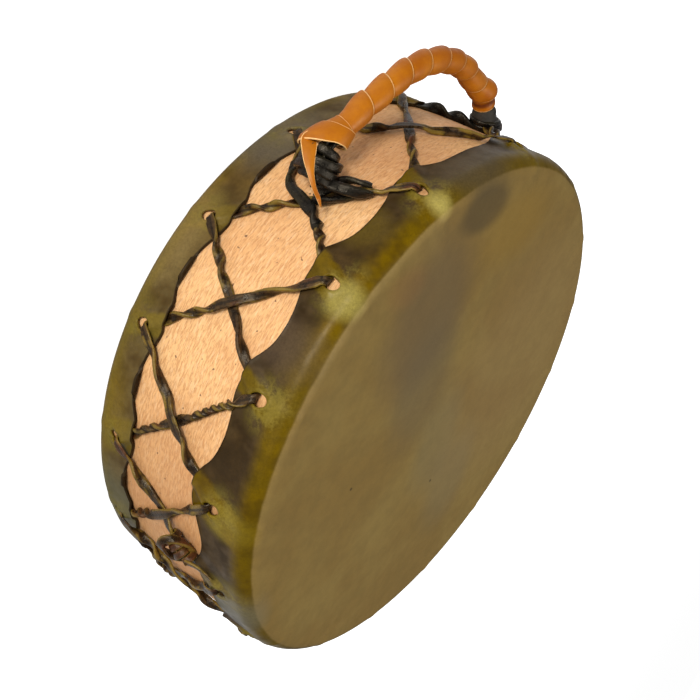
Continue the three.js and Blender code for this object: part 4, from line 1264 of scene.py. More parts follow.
BROWN_SKINS = ((22, 12, 5), (72, 50, 24), (132, 106, 38))
BLACK_SKINS = ((8, 7, 6), (26, 23, 19), (70, 62, 34))
MATT_SKINS = ((48, 46, 43), (64, 61, 57), (84, 80, 66))
LACE = lace_material("dark_lace", BROWN_SKINS, olive_share=0.66, gloss=0.24, shine=0.35)
BLACK_LACE = lace_material("black_lace", BLACK_SKINS, olive_share=0.2, gloss=0.24, shine=0.3)
MATT_LACE = lace_material("matt_lace", MATT_SKINS, olive_share=0.2, gloss=0.5, shine=0.3)
print("strip finishes:", LACE.name, BLACK_LACE.name, MATT_LACE.name)

# %% [markdown]
# ## The lacing
# Each lace goes down from a hole in one head, over or under its neighbour, in under the other head's skirt
# and up through the next hole, all the way round. Unrolled, a run is a straight line, so its places come
# from a distance along it. Between the points that hold it flat, a run twists by a whole number of half
# turns. A strip standing on its edge needs more room than a flat one, so the route is lifted to suit.

# %% Runs between the holes
LACE_WIDTH = 5.4
LACE_FREE_WIDTH = 5.0
LACE_FREE_THICKNESS = 2.7
ROPE_WIDTH = 4.2
ROPE_THICKNESS = 3.5
ROPE_HALF_TURNS = 5
FOLD_WIDTH = 4.4
FOLD_DRIFT = 2.6
FOLD_SLANT = 19
FOLD_RUN = 2.6
CROSSING_HALF = 3.4
RUN_STEP = 0.7
UNDER_RADIUS = HOOP_RADIUS + SEAT_GAP + LACE_FLAT / 2
OVER_RADIUS = HOOP_RADIUS + SEAT_GAP + LACE_LIFT + HIDE_THICKNESS + SEAT_GAP + LACE_FLAT / 2
FOLD_OFFSET = 3.26
HALF_TURNS = {("F", 0): (1, 2), ("B", 1): (2, 3), ("F", 1): (1, 2), ("B", 2): (2, 1), ("F", 2): (1, 2),
              ("B", 3): (1, 1), ("F", 3): (6, 3), ("B", 4): (1, 1), ("F", 4): (1, 3), ("B", 5): (2, 1)}
USUAL_HALF_TURNS = (1, 2)


def other_head(head):
    """The head on the drum's other side."""
    return BACK if head is FRONT else FRONT


def fold_level(head, k):
    """The level at which a lace folds round the hide in a hole."""
    return head["face"] - head["up"] * (hole_depth(head, k) + FOLD_OFFSET)


def lace_run(head, k):
    """A run's ends, its slope on the unrolled hoop and the place where it crosses its neighbour."""
    drift = math.degrees(FOLD_DRIFT / 2 / HOOP_RADIUS)
    start, end = column_angle(k) + drift, column_angle(k + 1) - drift
    low, high = fold_level(head, k), fold_level(other_head(head), k + 1)
    arc, rise = math.radians(end - start) * HOOP_RADIUS, high - low
    length = math.hypot(arc, rise)
    here = fold_level(FRONT, k) - fold_level(BACK, k)
    there = fold_level(FRONT, k + 1) - fold_level(BACK, k + 1)
    return {"head": head, "k": k, "start": start, "end": end, "low": low, "arc": arc, "rise": rise,
            "length": length, "crossing": length * here / (here + there)}


def run_places(run, distance, radius):
    """Places, outward directions and across directions at distances along a run."""
    share = np.asarray(distance, float) / run["length"]
    angle = run["start"] + (run["end"] - run["start"]) * share
    level = run["low"] + run["rise"] * share
    outward = polar(angle, 1.0, 0.0)
    tangent = np.cross(UP, outward)
    ahead = (tangent * run["arc"] + UP * run["rise"]) / run["length"]
    return polar(angle, radius, level), outward, np.cross(outward, ahead)


print("a run is", round(lace_run(FRONT, 0)["length"], 1), "mm long")

# %% [markdown]
# A run isn't a plain strip. It starts flat on the skirt, comes off its edge, twists, lies flat where it
# crosses its neighbour, and goes in flat under the other skirt. Its width, thickness, twist and height are
# each a number that changes smoothly with the distance along it, so they are worked out as plain arrays.

# %% One run's twist, size and height
LEAVE_SIDE = 3.6
FREE_RUN = 6
PRESSED_SHARE = 0.75
ON_SKIRT_LIFT = 0.9
HUMP_LIFT = 0.7
HUMP_FADE = (3.0, 13.0)
LIFT_FADE = 9
SWAY = (0.5, 9)
RUN_LUMPS = (0.14, 9)


def skirt_edge_distance(head, k, side, run):
    """Distance along a run from its fold to the point where it passes the skirt's edge."""
    lean = run["length"] / abs(run["rise"])
    angle = column_angle(k) + side
    return (float(edge_at(head, angle)) - hole_depth(head, k) - FOLD_OFFSET) * lean


def run_route(run, is_over, twists, lifted=None, bent=None):
    """Places and half sizes along one run. It may be lifted or bent aside about a distance."""
    head, k = run["head"], run["k"]
    leave = skirt_edge_distance(head, k, LEAVE_SIDE, run)
    arrive = run["length"] - skirt_edge_distance(other_head(head), k + 1, -LEAVE_SIDE, run)
    count = int((run["length"] - 2 * FOLD_RUN) / RUN_STEP)
    distance = np.linspace(FOLD_RUN, run["length"] - FOLD_RUN, count)
    before, after = run["crossing"] - CROSSING_HALF, run["crossing"] + CROSSING_HALF
    first = smooth_share(distance, 1.0, before) * twists[0]
    second = smooth_share(distance, after, arrive + 2) * twists[1]
    twist = 180.0 * (first + second)
    free = smooth_share(distance, leave - 1, leave + FREE_RUN)
    free = free * smooth_share(-distance, -arrive - 1, -arrive + FREE_RUN)
    pressed = 1 - smooth_share(np.abs(distance - run["crossing"]), CROSSING_HALF, CROSSING_HALF + FREE_RUN)
    free = free * (1 - PRESSED_SHARE * pressed)
    is_rope = twists[0] > ROPE_HALF_TURNS
    free_width, free_thickness = LACE_FREE_WIDTH, LACE_FREE_THICKNESS
    if is_rope:
        free_width, free_thickness = ROPE_WIDTH, ROPE_THICKNESS
    width = LACE_WIDTH + (free_width - LACE_WIDTH) * free
    thickness = LACE_FLAT + (free_thickness - LACE_FLAT) * free
    turn = np.radians(twist)
    reach = np.sqrt((width / 2 * np.sin(turn)) ** 2 + (thickness / 2 * np.cos(turn)) ** 2)
    floor_radius = np.full(count, HOOP_RADIUS + SEAT_GAP)
    on_skirt = 1 - smooth_share(distance, leave - 1.5, leave + 5)
    floor_radius += (HIDE_THICKNESS + SEAT_GAP + ON_SKIRT_LIFT) * on_skirt
    floor_radius += (LACE_LIFT - ON_SKIRT_LIFT) * (1 - smooth_share(distance, 2, 9))
    if is_over:
        hump = 1 - smooth_share(np.abs(distance - run["crossing"]), *HUMP_FADE)
        floor_radius += (LACE_FLAT + SEAT_GAP + HUMP_LIFT) * hump
    radius = floor_radius + reach
    if lifted is not None:
        middle, half, height = lifted
        radius += height * (1 - smooth_share(np.abs(distance - middle), half, half + LIFT_FADE))
    at, outward, across = run_places(run, distance, radius)
    sway = SWAY[0] * np.sin(distance / SWAY[1] + k) * free
    if bent is not None:
        middle, half, aside = bent
        sway = sway + aside * np.exp(-((distance - middle) / half) ** 2)
    at = at + across * sway[:, None]
    vary = 1 + RUN_LUMPS[0] * lumps(at, RUN_LUMPS[1], k + 3)
    cos, sin = np.cos(turn)[:, None], np.sin(turn)[:, None]
    side = (across * cos + outward * sin) * (width * vary / 2)[:, None]
    lift = (outward * cos - across * sin) * (thickness / 2)[:, None]
    return at, side, lift


print("a usual run has", USUAL_HALF_TURNS, "half turns before and after its crossing")


# %% [markdown]
# At a hole the lace comes up from under the hide, bends round the hide's cut edge and lies back over it, so
# the fold is half a circle about that edge, leaning from one run's direction to the next one's.

# %% Folds in the holes, and whole laces
FOLD_POINTS = 10
BENDS = {("B", 1): (33.0, 15.0, -7.2)}
TIE_MIDDLE = 17.0


def fold_route(head, k):
    """Places and half sizes round the hide's cut edge in one hole."""
    bend, centre = (OVER_RADIUS - UNDER_RADIUS) / 2, (OVER_RADIUS + UNDER_RADIUS) / 2
    degrees = np.linspace(0, 180, FOLD_POINTS)
    turn = np.radians(degrees)
    drift = FOLD_DRIFT * (degrees / 180 - 0.5)
    angle = column_angle(k) + np.degrees(drift / HOOP_RADIUS)
    level = fold_level(head, k) + head["up"] * bend * np.sin(turn)
    outward = polar(angle, 1.0, 0.0)
    tangent = np.cross(UP, outward)
    slant = np.radians(FOLD_SLANT * np.cos(turn))
    across = tangent * np.cos(slant)[:, None] - head["up"] * UP * np.sin(slant)[:, None]
    through = UP * np.sin(turn)[:, None] - head["up"] * outward * np.cos(turn)[:, None]
    at = polar(angle, centre - bend * np.cos(turn), level)
    return at, across * FOLD_WIDTH / 2, through * LACE_FLAT / 2


def aligned(part, last_side, last_lift):
    """Turns a stretch's section by half a turn where that follows the last one better."""
    at, side, lift = part
    if last_side is not None and np.dot(side[0], last_side) < 0:
        side = -side
    if last_lift is not None and np.dot(lift[0], last_lift) < 0:
        lift = -lift
    return at, side, lift


def lace_route(first_column, is_over, lifts):
    """One lace's closed route: a fold and a run for each column, until it meets itself."""
    parts = []
    side = lift = None
    for step in range(COLUMN_COUNT):
        k = first_column + step
        head = FRONT if step % 2 == 0 else BACK
        key = ("F" if head is FRONT else "B", k)
        run = lace_run(head, k)
        twists = HALF_TURNS.get(key, USUAL_HALF_TURNS)
        between = run_route(run, is_over, twists, lifts.get(key), BENDS.get(key))
        for part in (fold_route(head, k), between):
            part = aligned(part, side, lift)
            side, lift = part[1][-1], part[2][-1]
            parts.append(part)
    at, sides, rises = (np.vstack([p[i] for p in parts]) for i in range(3))
    return {"at": at, "side": sides, "lift": rises, "closed": True}


tied_run = lace_run(BACK, 4)
TIE_LIFTS = {("B", 4): (tied_run["crossing"] + TIE_MIDDLE, 9.0, 1.6)}
over_piece = strip_piece("twisted_over_lace", [lace_route(0, True, {})], LACE, seed=1)
under_piece = strip_piece("twisted_under_lace", [lace_route(1, False, TIE_LIFTS)], LACE, seed=2)
dress(over_piece, LACE, "drum", "lace_hide", "over_lace")
dress(under_piece, LACE, "drum", "lace_hide", "under_lace")

# %% [markdown]
# ## Where the lacing ends
# The lacing's spare end is wound round one of its own runs, tucked under and left with a short tail. A turn
# of it is an ellipse about the run.

# %% Winding round a run
def wound_places(run, distance, radius, wide, deep, turns):
    """Places on windings round a run, and the way from the run's middle to each."""
    centre, outward, across = run_places(run, distance, radius)
    angle = 2 * math.pi * np.asarray(turns)
    cos, sin = np.cos(angle)[:, None], np.sin(angle)[:, None]
    wide, deep = (np.broadcast_to(v, len(cos))[:, None] for v in (wide, deep))
    facing = unit(across * cos * deep + outward * sin * wide)
    return centre + across * cos * wide + outward * sin * deep, facing


print("the tied run is", round(tied_run["length"], 1), "mm long")

# %% [markdown]
# Real turns never lie alike, so each gets its own size and lean. A last loop lies slantwise over the others.

# %% The tie-off knot
TIE_START = 11.0
TIE_TURNS = 3.5
TIE_PITCH = 4.2
TIE_STRIP = 4.0
TIE_THICKNESS = 2.3
TIE_RADIUS = 157.6
TIE_WIDE = 4.3
TIE_DEEP = 3.4
TIE_POINTS = 28
TIE_SWAY = 0.9
TIE_UNEVEN = 0.2
TAIL_TAPER = 0.45
LOOP_SPAN = (0.03, 1.12)
LOOP_POINTS = 40
LOOP_SLANT = 7.5
LOOP_WIDE = 6.2
LOOP_DEEP = 5.4
TIE_TAIL = [(-2.4, 2.4, 3.2), (-3.4, 5.6, 2.8), (-2.8, 9.4, 1.8), (-1.0, 13.4, 1.0), (0.8, 17.0, 0.8)]


def tie_coil():
    """The turns wound round the run, and the tail that they end in."""
    turns = np.linspace(0, TIE_TURNS, int(TIE_TURNS * TIE_POINTS))
    start = tied_run["crossing"] + TIE_START
    distance = start + TIE_PITCH * turns + TIE_SWAY * np.sin(2 * math.pi * turns + 0.6)
    grow = 1 + TIE_UNEVEN * np.sin(2.3 * turns + 0.4)
    at, facing = wound_places(tied_run, distance, TIE_RADIUS, TIE_WIDE * grow, TIE_DEEP * grow, turns - 0.25)
    end, outward, _ = run_places(tied_run, [distance[-1]], OVER_RADIUS)
    tangent = np.cross(UP, outward)
    tail = [(end + tangent * side + UP * rise + outward * proud)[0] for side, rise, proud in TIE_TAIL]
    tail = curve_through(np.vstack([at[-4:-3], tail]), 7)[4:]
    route = np.vstack([at[:-3], tail])
    facing = np.vstack([facing[:-3], np.repeat(outward, len(tail), axis=0)])
    taper = np.ones(len(route))
    taper[-len(tail):] = np.linspace(1, TAIL_TAPER, len(tail))
    return strip_frames(route, facing, TIE_STRIP * taper, TIE_THICKNESS * (0.4 + 0.6 * taper), 14)


def tie_loop():
    """The last loop, which lies slantwise over the turns."""
    turn = np.linspace(*LOOP_SPAN, LOOP_POINTS)
    middle = tied_run["crossing"] + TIE_START + TIE_PITCH * TIE_TURNS / 2
    slant = middle + LOOP_SLANT * np.cos(2 * math.pi * turn + 0.5)
    at, facing = wound_places(tied_run, slant, TIE_RADIUS + 0.9, LOOP_WIDE, LOOP_DEEP, turn - 0.25)
    return strip_frames(at, facing, 4.4, 2.4, 20 * np.sin(9 * turn))


tie_piece = strip_piece("tied_off_lace", [tie_coil(), tie_loop()], LACE, points=18, groove=0.3,
                        lump=(3.5, 0.6), seed=3)
dress(tie_piece, LACE, "drum", "lace_hide", "tie_off_knot")

# %% [markdown]
# ## The handle's middle line
# The handle is three strands of the same lace pulled up into a loop between two crossings of the lacing.
# Its middle line is a smooth curve through a few places, each an angle round the drum and a share of the
# loop's rise. Everything on the handle is placed by its distance along this line, its radius and its turn.

# %% The middle line and places round it
KNOT_SEAT = UNDER_RADIUS + LACE_FLAT / 2 + SEAT_GAP + LACE_FLAT + SEAT_GAP
HANDLE_RISE = 30
HANDLE_ROUTE = [(114.54, 0.562), (109.24, 0.701), (102.75, 0.826), (94.93, 0.986), (88.16, 1.0),
                (81.5, 0.87), (76.1, 0.645), (71, 0.46)]
ROOT_TAIL = 5.0


def handle_point(angle, reach):
    """A place at an angle and a height over the lacing, halfway up the drum."""
    return polar(angle, KNOT_SEAT + reach, MIDDLE)


LEFT_ROOT = handle_point(118.5, 9.3)
RIGHT_ROOT = handle_point(67.6, 6.6)


def middle_line():
    """Closely spaced places along the handle's middle, from under one root to under the other."""
    points = [handle_point(angle, HANDLE_RISE * share) for angle, share in HANDLE_ROUTE]
    left_foot = LEFT_ROOT - unit(points[0] - LEFT_ROOT) * ROOT_TAIL
    right_foot = RIGHT_ROOT - unit(points[-1] - RIGHT_ROOT) * ROOT_TAIL
    return curve_through([left_foot, LEFT_ROOT, *points, RIGHT_ROOT, right_foot], 80)


HANDLE_LINE = middle_line()
HANDLE_RUN = np.concatenate([[0], np.cumsum(np.linalg.norm(np.diff(HANDLE_LINE, axis=0), axis=1))])
HANDLE_AHEAD = unit(np.gradient(HANDLE_LINE, HANDLE_RUN, axis=0))
HANDLE_LENGTH = HANDLE_RUN[-1]


def read_line(values, distance):
    """What a list of values along the handle says at any distance."""
    return np.stack([np.interp(distance, HANDLE_RUN, values[:, i]) for i in range(3)], axis=-1)


def round_handle(distance, radius, turn):
    """Places at distances along the handle, radii from its middle line and turns about it in radians.

    Turn 0 faces away from the drum and a quarter turn faces the front head.
    """
    distance, radius, turn = np.broadcast_arrays(*(np.asarray(v, float) for v in (distance, radius, turn)))
    ahead = unit(read_line(HANDLE_AHEAD, distance))
    away = unit(np.cross(UP, ahead))
    outward = away * np.cos(turn)[..., None] + UP * np.sin(turn)[..., None]
    return read_line(HANDLE_LINE, distance) + outward * radius[..., None], outward, ahead


print("handle is", round(HANDLE_LENGTH, 1), "mm long")

# %% [markdown]
# ## Strands
# The handle's core is three thin cords that twist round each other. Wrap and knots hide nearly all of them.
# They are a little thicker at the roots, where nothing but the knots lies round them.

# %% Strands
STRAND_COUNT = 3
STRAND_RADIUS = 1.45
STRAND_END_RADIUS = 1.75
STRAND_TWISTS = 2.5
STRAND_POINTS = 120
STRAND_SWELL = (5, 10.5)


def strand_offset(radius):
    """How far a strand's middle is from the handle's, for strands that just don't touch."""
    return (radius * 2 + SEAT_GAP) / (2 * math.sin(math.pi / STRAND_COUNT))


def strand_route(number):
    """One strand's route along the handle, as a round cord."""
    distance = np.linspace(0, HANDLE_LENGTH, STRAND_POINTS)
    swell = smooth_share(np.minimum(distance, HANDLE_LENGTH - distance), *STRAND_SWELL)
    radius = STRAND_END_RADIUS + (STRAND_RADIUS - STRAND_END_RADIUS) * swell
    turn = 2 * math.pi * (STRAND_TWISTS * distance / HANDLE_LENGTH + number / STRAND_COUNT)
    at, outward, ahead = round_handle(distance, strand_offset(radius), turn)
    return {"at": at, "side": np.cross(ahead, outward) * radius[:, None], "lift": outward * radius[:, None]}


for number in range(STRAND_COUNT):
    strand = strip_piece(f"strand_{number + 1}", [strand_route(number)], BLACK_LACE, points=12, groove=0.1,
                         squareness=1.0, lump=(2.5, 0.25), seed=10 + number)
    dress(strand, BLACK_LACE, "handle", "knot_hide", f"handle_strand_{number + 1}")

# %% [markdown]
# ## Root knots
# At the left root the lace's end is wound down round the strands and back up over itself, in fat glossy
# turns. A coil is given as a few places, each a distance, a radius and a number of turns, and is filled in
# between them. Smooth noise makes its turns uneven.

# %% Coils round the handle, and the left root's knot
WRAP_LEFT_START = 10.5
WRAP_RIGHT_START = 6.0
COIL_CLEAR = 0.45
PINCHED = STRAND_END_RADIUS + strand_offset(STRAND_END_RADIUS)
LEFT_STRIP = 4.4
KNOT_THICKNESS = 3.0
LEFT_KNOT_TURNS = 4.3
COIL_POINTS = 26


def round_places(turns):
    """Places on a spiral, at which noise changes smoothly along a winding and from turn to turn."""
    return np.stack([np.cos(2 * math.pi * turns), np.sin(2 * math.pi * turns), turns], axis=-1)


def coil_route(places, width, thickness, seed, lean=12.0):
    """A strip wound round the handle through places given as distance, radius and number of turns."""
    distances, radii, known = zip(*places)
    turns = np.linspace(known[0], known[-1], int((known[-1] - known[0]) * COIL_POINTS) + 2)
    distance = np.interp(turns, known, distances)
    radius = np.interp(turns, known, radii)
    sway = round_places(turns)
    radius = radius + 0.55 * (lumps(sway, 0.9, seed) + 0.6)
    distance = distance + 0.8 * lumps(sway, 1.2, seed + 1)
    at, outward, _ = round_handle(distance, radius, 2 * math.pi * turns)
    return strip_frames(at, outward, width, thickness, lean * lumps(sway, 1.0, seed + 2))


def left_knot_route():
    """Down round the strands, then back up over the first turns."""
    inner = PINCHED + COIL_CLEAR + KNOT_THICKNESS / 2
    top, low = ROOT_TAIL + WRAP_LEFT_START - 1.4, ROOT_TAIL - 3.4
    down = (top - low) / LEFT_KNOT_TURNS
    places = [(top, inner, 0), (low, inner, down), (low, inner + 3.4, down + 0.5),
              (top - 1.4, inner + 2.6, down + 0.5 + (top - 1.4 - low) / LEFT_KNOT_TURNS)]
    return coil_route(places, LEFT_STRIP, KNOT_THICKNESS, 31)


left_knot = strip_piece("left_root_winding", [left_knot_route()], BLACK_LACE, points=18, groove=0.22,
                        lump=(4.0, 0.8), seed=21)
dress(left_knot, BLACK_LACE, "handle", "knot_hide", "left_root_knot")

# %% [markdown]
# The right root's knot is shorter, and two of its loops lie round the base of the cuff. The handle doesn't
# meet the drum squarely there, so the place where it comes down to a given distance from the drum's axis is
# found by trying distances along it.

# %% The right root's knot
CUFF_FROM = HANDLE_LENGTH - ROOT_TAIL - WRAP_RIGHT_START + SEAT_GAP
CUFF_TO = CUFF_FROM + 3.6
BASE_LEVEL = KNOT_SEAT + 1.6
BASE_SLANT = 0.5
BASE_POINTS = 44
BASE_STRIP = {"width": 3.2, "thickness": 2.4}
BASE_LOOPS = [
    {"level": BASE_LEVEL + 1.9, "radius": 7.5, "first": 0.05, "last": 1.6, "seed": 44},
    {"level": BASE_LEVEL - 0.6, "radius": 7.8, "first": 0.2, "last": 1.5, "seed": 47},
]
RIGHT_TOP = CUFF_TO + 1.4
RIGHT_INNER = PINCHED + COIL_CLEAR + 0.9
RIGHT_COIL = [(RIGHT_TOP, RIGHT_INNER, 0), (RIGHT_TOP + 3.2, RIGHT_INNER, 1.0)]


def past_end(distance, radius, turn):
    """Places round the handle that may lie beyond its line's end."""
    at, outward, ahead = round_handle(np.minimum(distance, HANDLE_LENGTH), radius, turn)
    beyond = np.maximum(np.asarray(distance, float) - HANDLE_LENGTH, 0)
    return at + ahead * beyond[..., None], outward, ahead


def distance_at_level(level, radius, turns):
    """How far along the handle a place at a radius and turn comes down to a distance from the drum's axis."""
    tries = np.linspace(CUFF_FROM, HANDLE_LENGTH + 12, 60)
    found = []
    for turn in np.atleast_1d(turns):
        places = past_end(tries, np.full(len(tries), radius), np.full(len(tries), turn))[0]
        heights = np.hypot(places[:, 0], places[:, 1])
        found.append(np.interp(-level, -heights, tries))
    return np.array(found)


def base_route(level, radius, first, last, width, thickness, seed):
    """A strip wound round the cuff's base, level with the drum rather than square to the handle."""
    turns = np.linspace(first, last, int((last - first) * BASE_POINTS))
    sway = round_places(turns)
    out = radius + 0.6 * lumps(sway, 0.8, seed)
    turn = 2 * math.pi * turns
    level_places = distance_at_level(level, radius, turn)
    distance = level_places.mean() + BASE_SLANT * (level_places - level_places.mean())
    distance = distance + 0.7 * lumps(sway, 0.9, seed + 1)
    at, outward, _ = past_end(distance, out, turn)
    return strip_frames(at, outward, width, thickness, 14 * lumps(sway, 0.7, seed + 2))


right_routes = [coil_route(RIGHT_COIL, width=2.8, thickness=1.8, seed=41)]
right_routes += [base_route(**loop, **BASE_STRIP) for loop in BASE_LOOPS]
right_knot = strip_piece("right_root_winding", right_routes, BLACK_LACE, points=18, groove=0.2,
                         lump=(5.0, 0.5), seed=22)
dress(right_knot, BLACK_LACE, "handle", "knot_hide", "right_root_knot")

# %% [markdown]
# Beside each root the same lace is also wound along a run of the lacing. These bindings stay with the drum
# when the handle tilts, so they are pieces of their own. At the left three strips turn slowly round one run
# while a fuller strip covers another, and at the right a single fuller strip covers one.

# %% Bindings along the lacing
BOUND_STEP = 0.7


def bound_run(run, start, stop, radii, pitch, strips, width, thickness, seed):
    """Strips wound side by side along a run, from one distance to another, with a swelling radius."""
    routes = []
    count = max(24, int(abs(stop - start) / BOUND_STEP))
    share = np.linspace(0, 1, count)
    distance = start + (stop - start) * share
    radius = np.interp(share, np.linspace(0, 1, len(radii)), radii)
    for number in range(strips):
        turns = distance / pitch + number / strips
        centre = HOOP_RADIUS + SEAT_GAP + radius + thickness / 2
        at, facing = wound_places(run, distance, centre, radius, radius, turns)
        at = at + facing * (0.5 * lumps(at, 4.0, seed + number))[:, None]
        taper = smooth_share(share, -0.05, 0.15) * smooth_share(-share, -1.05, -0.85)
        wide, thick = width * (0.35 + 0.65 * taper), thickness * (0.4 + 0.6 * taper)
        routes.append(strip_frames(at, facing, wide, thick, 8))
    return routes


def covered_run(head, k, is_over, first, last, fuller):
    """A second strip laid over a lace's run between two shares of it, a little fuller than the lace."""
    key = ("F" if head is FRONT else "B", k)
    twists = HALF_TURNS.get(key, USUAL_HALF_TURNS)
    at, side, lift = run_route(lace_run(head, k), is_over, twists, None, BENDS.get(key))
    part = slice(int(first * len(at)), int(last * len(at)))
    return {"at": at[part], "side": side[part] * fuller, "lift": lift[part] * fuller}


left_binding = bound_run(lace_run(FRONT, 1), start=18, stop=45, radii=(2.2, 3.9, 4.6, 3.6), pitch=66,
                         strips=3, width=5.4, thickness=3.0, seed=51)
left_binding.append(covered_run(BACK, 1, True, first=0.2, last=0.74, fuller=1.18))
right_binding = [covered_run(FRONT, 15, False, first=0.42, last=0.96, fuller=1.35)]
for name, routes, seed in (("left_binding", left_binding, 23), ("right_binding", right_binding, 24)):
    bound = strip_piece(name, routes, BLACK_LACE, points=16, groove=0.2, lump=(6.0, 0.5), seed=seed)
    dress(bound, BLACK_LACE, "drum", "knot_hide")

# %% [markdown]
# The cuff is a short stiff tube of hide. Its top meets the wrap's end, and its base is wider and leans
# towards the drum's side. It is one outline carried round the handle's line, and the outline is stretched
# along the handle to reach the base's level at each point. Slow waves give the buckles.

# %% Cuff
CUFF_POINTS = 96
CUFF_OUTLINE = [(0.0, 4.6), (0.0, 5.6), (0.16, 5.8), (0.3, 6.2), (0.55, 6.7), (0.8, 7.2), (0.97, 7.6),
                (1.0, 7.3), (1.0, 6.8), (0.9, 6.5), (0.5, 5.6), (0.2, 4.7)]


def cuff_piece():
    """The cuff as rings of places that share one outline, closed into a tube with a wall."""
    turns = np.linspace(0, 2 * math.pi, CUFF_POINTS, endpoint=False)
    base = distance_at_level(BASE_LEVEL, 7.0, turns)
    base = np.maximum(base, CUFF_TO + 0.4)
    rings = []
    for share, size in CUFF_OUTLINE:
        buckle = 0.3 * np.sin(3 * turns + 0.8) + 0.25 * np.sin(5 * turns)
        rings.append(past_end(CUFF_FROM + (base - CUFF_FROM) * share, size + buckle * share, turns)[0])
    rows, count = len(rings), len(turns)
    faces = [(i * count + j, i * count + (j + 1) % count, (i + 1) % rows * count + (j + 1) % count,
              (i + 1) % rows * count + j) for i in range(rows) for j in range(count)]
    piece = make_piece("stiff_cuff", np.vstack(rings), faces)
    face_outwards(piece)
    return piece


dress(cuff_piece(), MATT_LACE, "handle", "knot_hide", "right_cuff")

# %% [markdown]
# ## The leather wrap
# One strip of tan leather is wound from the left root to the right one. Each turn's right edge lies over the
# next turn's left edge, so a turn's section leans like a roof tile. The strip is cupped between its edges,
# its cut edges are pale, and its pointed end hangs over the left knot. The mesh is the strip's section
# carried turn by turn, and it keeps a value for the cut edges and one for the fold at the right end, which
# the finish darkens as painted shade.

# %% Tan leather
LEATHER_RELIEF = 0.2 * MM


def tan_leather():
    """Tan leather, mottled, with painted shade in the fold, and pale where it was cut."""
    material, tree, shader, where = new_material("tan_leather")
    marks = mottled(tree, where, 42.0, 260.0)
    base = mix_colours(tree, marks["Soft"], linear(162, 88, 3), linear(180, 106, 14))
    base = lay_over(tree, base, linear(146, 70, 10), marks["Fine"], 0.3)
    # Painted shade: the fold near the wrap's right end is darkened to a deep reddish brown.
    base = lay_over(tree, base, linear(92, 36, 14), ramp(tree, attribute(tree, "fold"), 0.2, 0.9), 0.85)
    cut = ramp(tree, attribute(tree, "cut_edge"), 0.35, 0.8)
    base = mix_colours(tree, cut, base, linear(240, 190, 124))
    polish = math_node(tree, "MULTIPLY_ADD", marks["Fine"], 0.15, 0.36)
    set_surface(tree, shader, base, polish, 0.35, WARM_TINT)
    add_bump(tree, shader, marks["Grain"], LEATHER_RELIEF, 0.35)
    return material


LEATHER = tan_leather()
print("leather finish:", len(LEATHER.node_tree.nodes), "nodes")

# %% [markdown]
# The turns share the wrapped length evenly, and the strip is wider than a turn is long, so they overlap.

# %% The wrap's sizes and section
WRAP_TURNS = 10.05
WRAP_FIRST_TURN = -75
WRAP_THICKNESS = 1.0
WRAP_OVERLAP = 5.0
WRAP_LAP_GAP = 0.55
WRAP_CLEAR = 0.45
WRAP_END_WIDTH = 8.0
WRAP_WIDENING = 0.45
WRAP_STEPS = 44
WRAP_PITCHES = 10
CUPPING = 0.4
LIP_TUCK = 0.35
END_OVER_CUFF = 0.2
END_FLARE = 0.7
FOLD_FROM_END = 4.6
FOLD_HALF = 2.2
BULGE_AT = 157
BULGE_SPREAD = 7
BULGE_SIDE = 30
BULGE = 2.4
OUTER_SHARES = np.array([0, 0.03, 0.05, 0.08, 0.16, 0.26, 0.36, 0.46, 0.56, 0.66, 0.76, 0.85, 0.92, 0.955,
                         0.972, 1.0])
PALE = np.array([1, 1, *[0] * (len(OUTER_SHARES) - 4), 1, 1])
WRAP_FROM = ROOT_TAIL + WRAP_LEFT_START
WRAP_TO = HANDLE_LENGTH - ROOT_TAIL - WRAP_RIGHT_START
WRAP_END = WRAP_TO + END_OVER_CUFF
WRAP_PITCH = (WRAP_TO - WRAP_FROM - WRAP_OVERLAP) / WRAP_PITCHES
WRAP_WIDTH = WRAP_PITCH + WRAP_OVERLAP


def wrap_section():
    """Shares across the strip, heights through it from 0 to 1, and how much of a cut edge each point is."""
    round_off = np.ones(len(OUTER_SHARES))
    round_off[[0, -1]] = 0.82
    shares = np.concatenate([OUTER_SHARES, [1.004], OUTER_SHARES[::-1], [-0.004]])
    skins = np.concatenate([round_off, [0.45], np.zeros(len(OUTER_SHARES)), [0.45]])
    edges = np.concatenate([PALE, [1, 1], np.zeros(len(OUTER_SHARES) - 2), [1, 1]])
    return shares, skins, edges


print("a turn of the wrap is", round(WRAP_PITCH, 1), "mm long and", round(WRAP_WIDTH, 1), "mm wide")

# %% [markdown]
# A point of the wrap is given by its turn, its share across the strip and its height in the leather. The
# radius rises across the strip, so that each turn lies over the next. The first turn starts narrow, and the
# last one is cut off at the cuff.

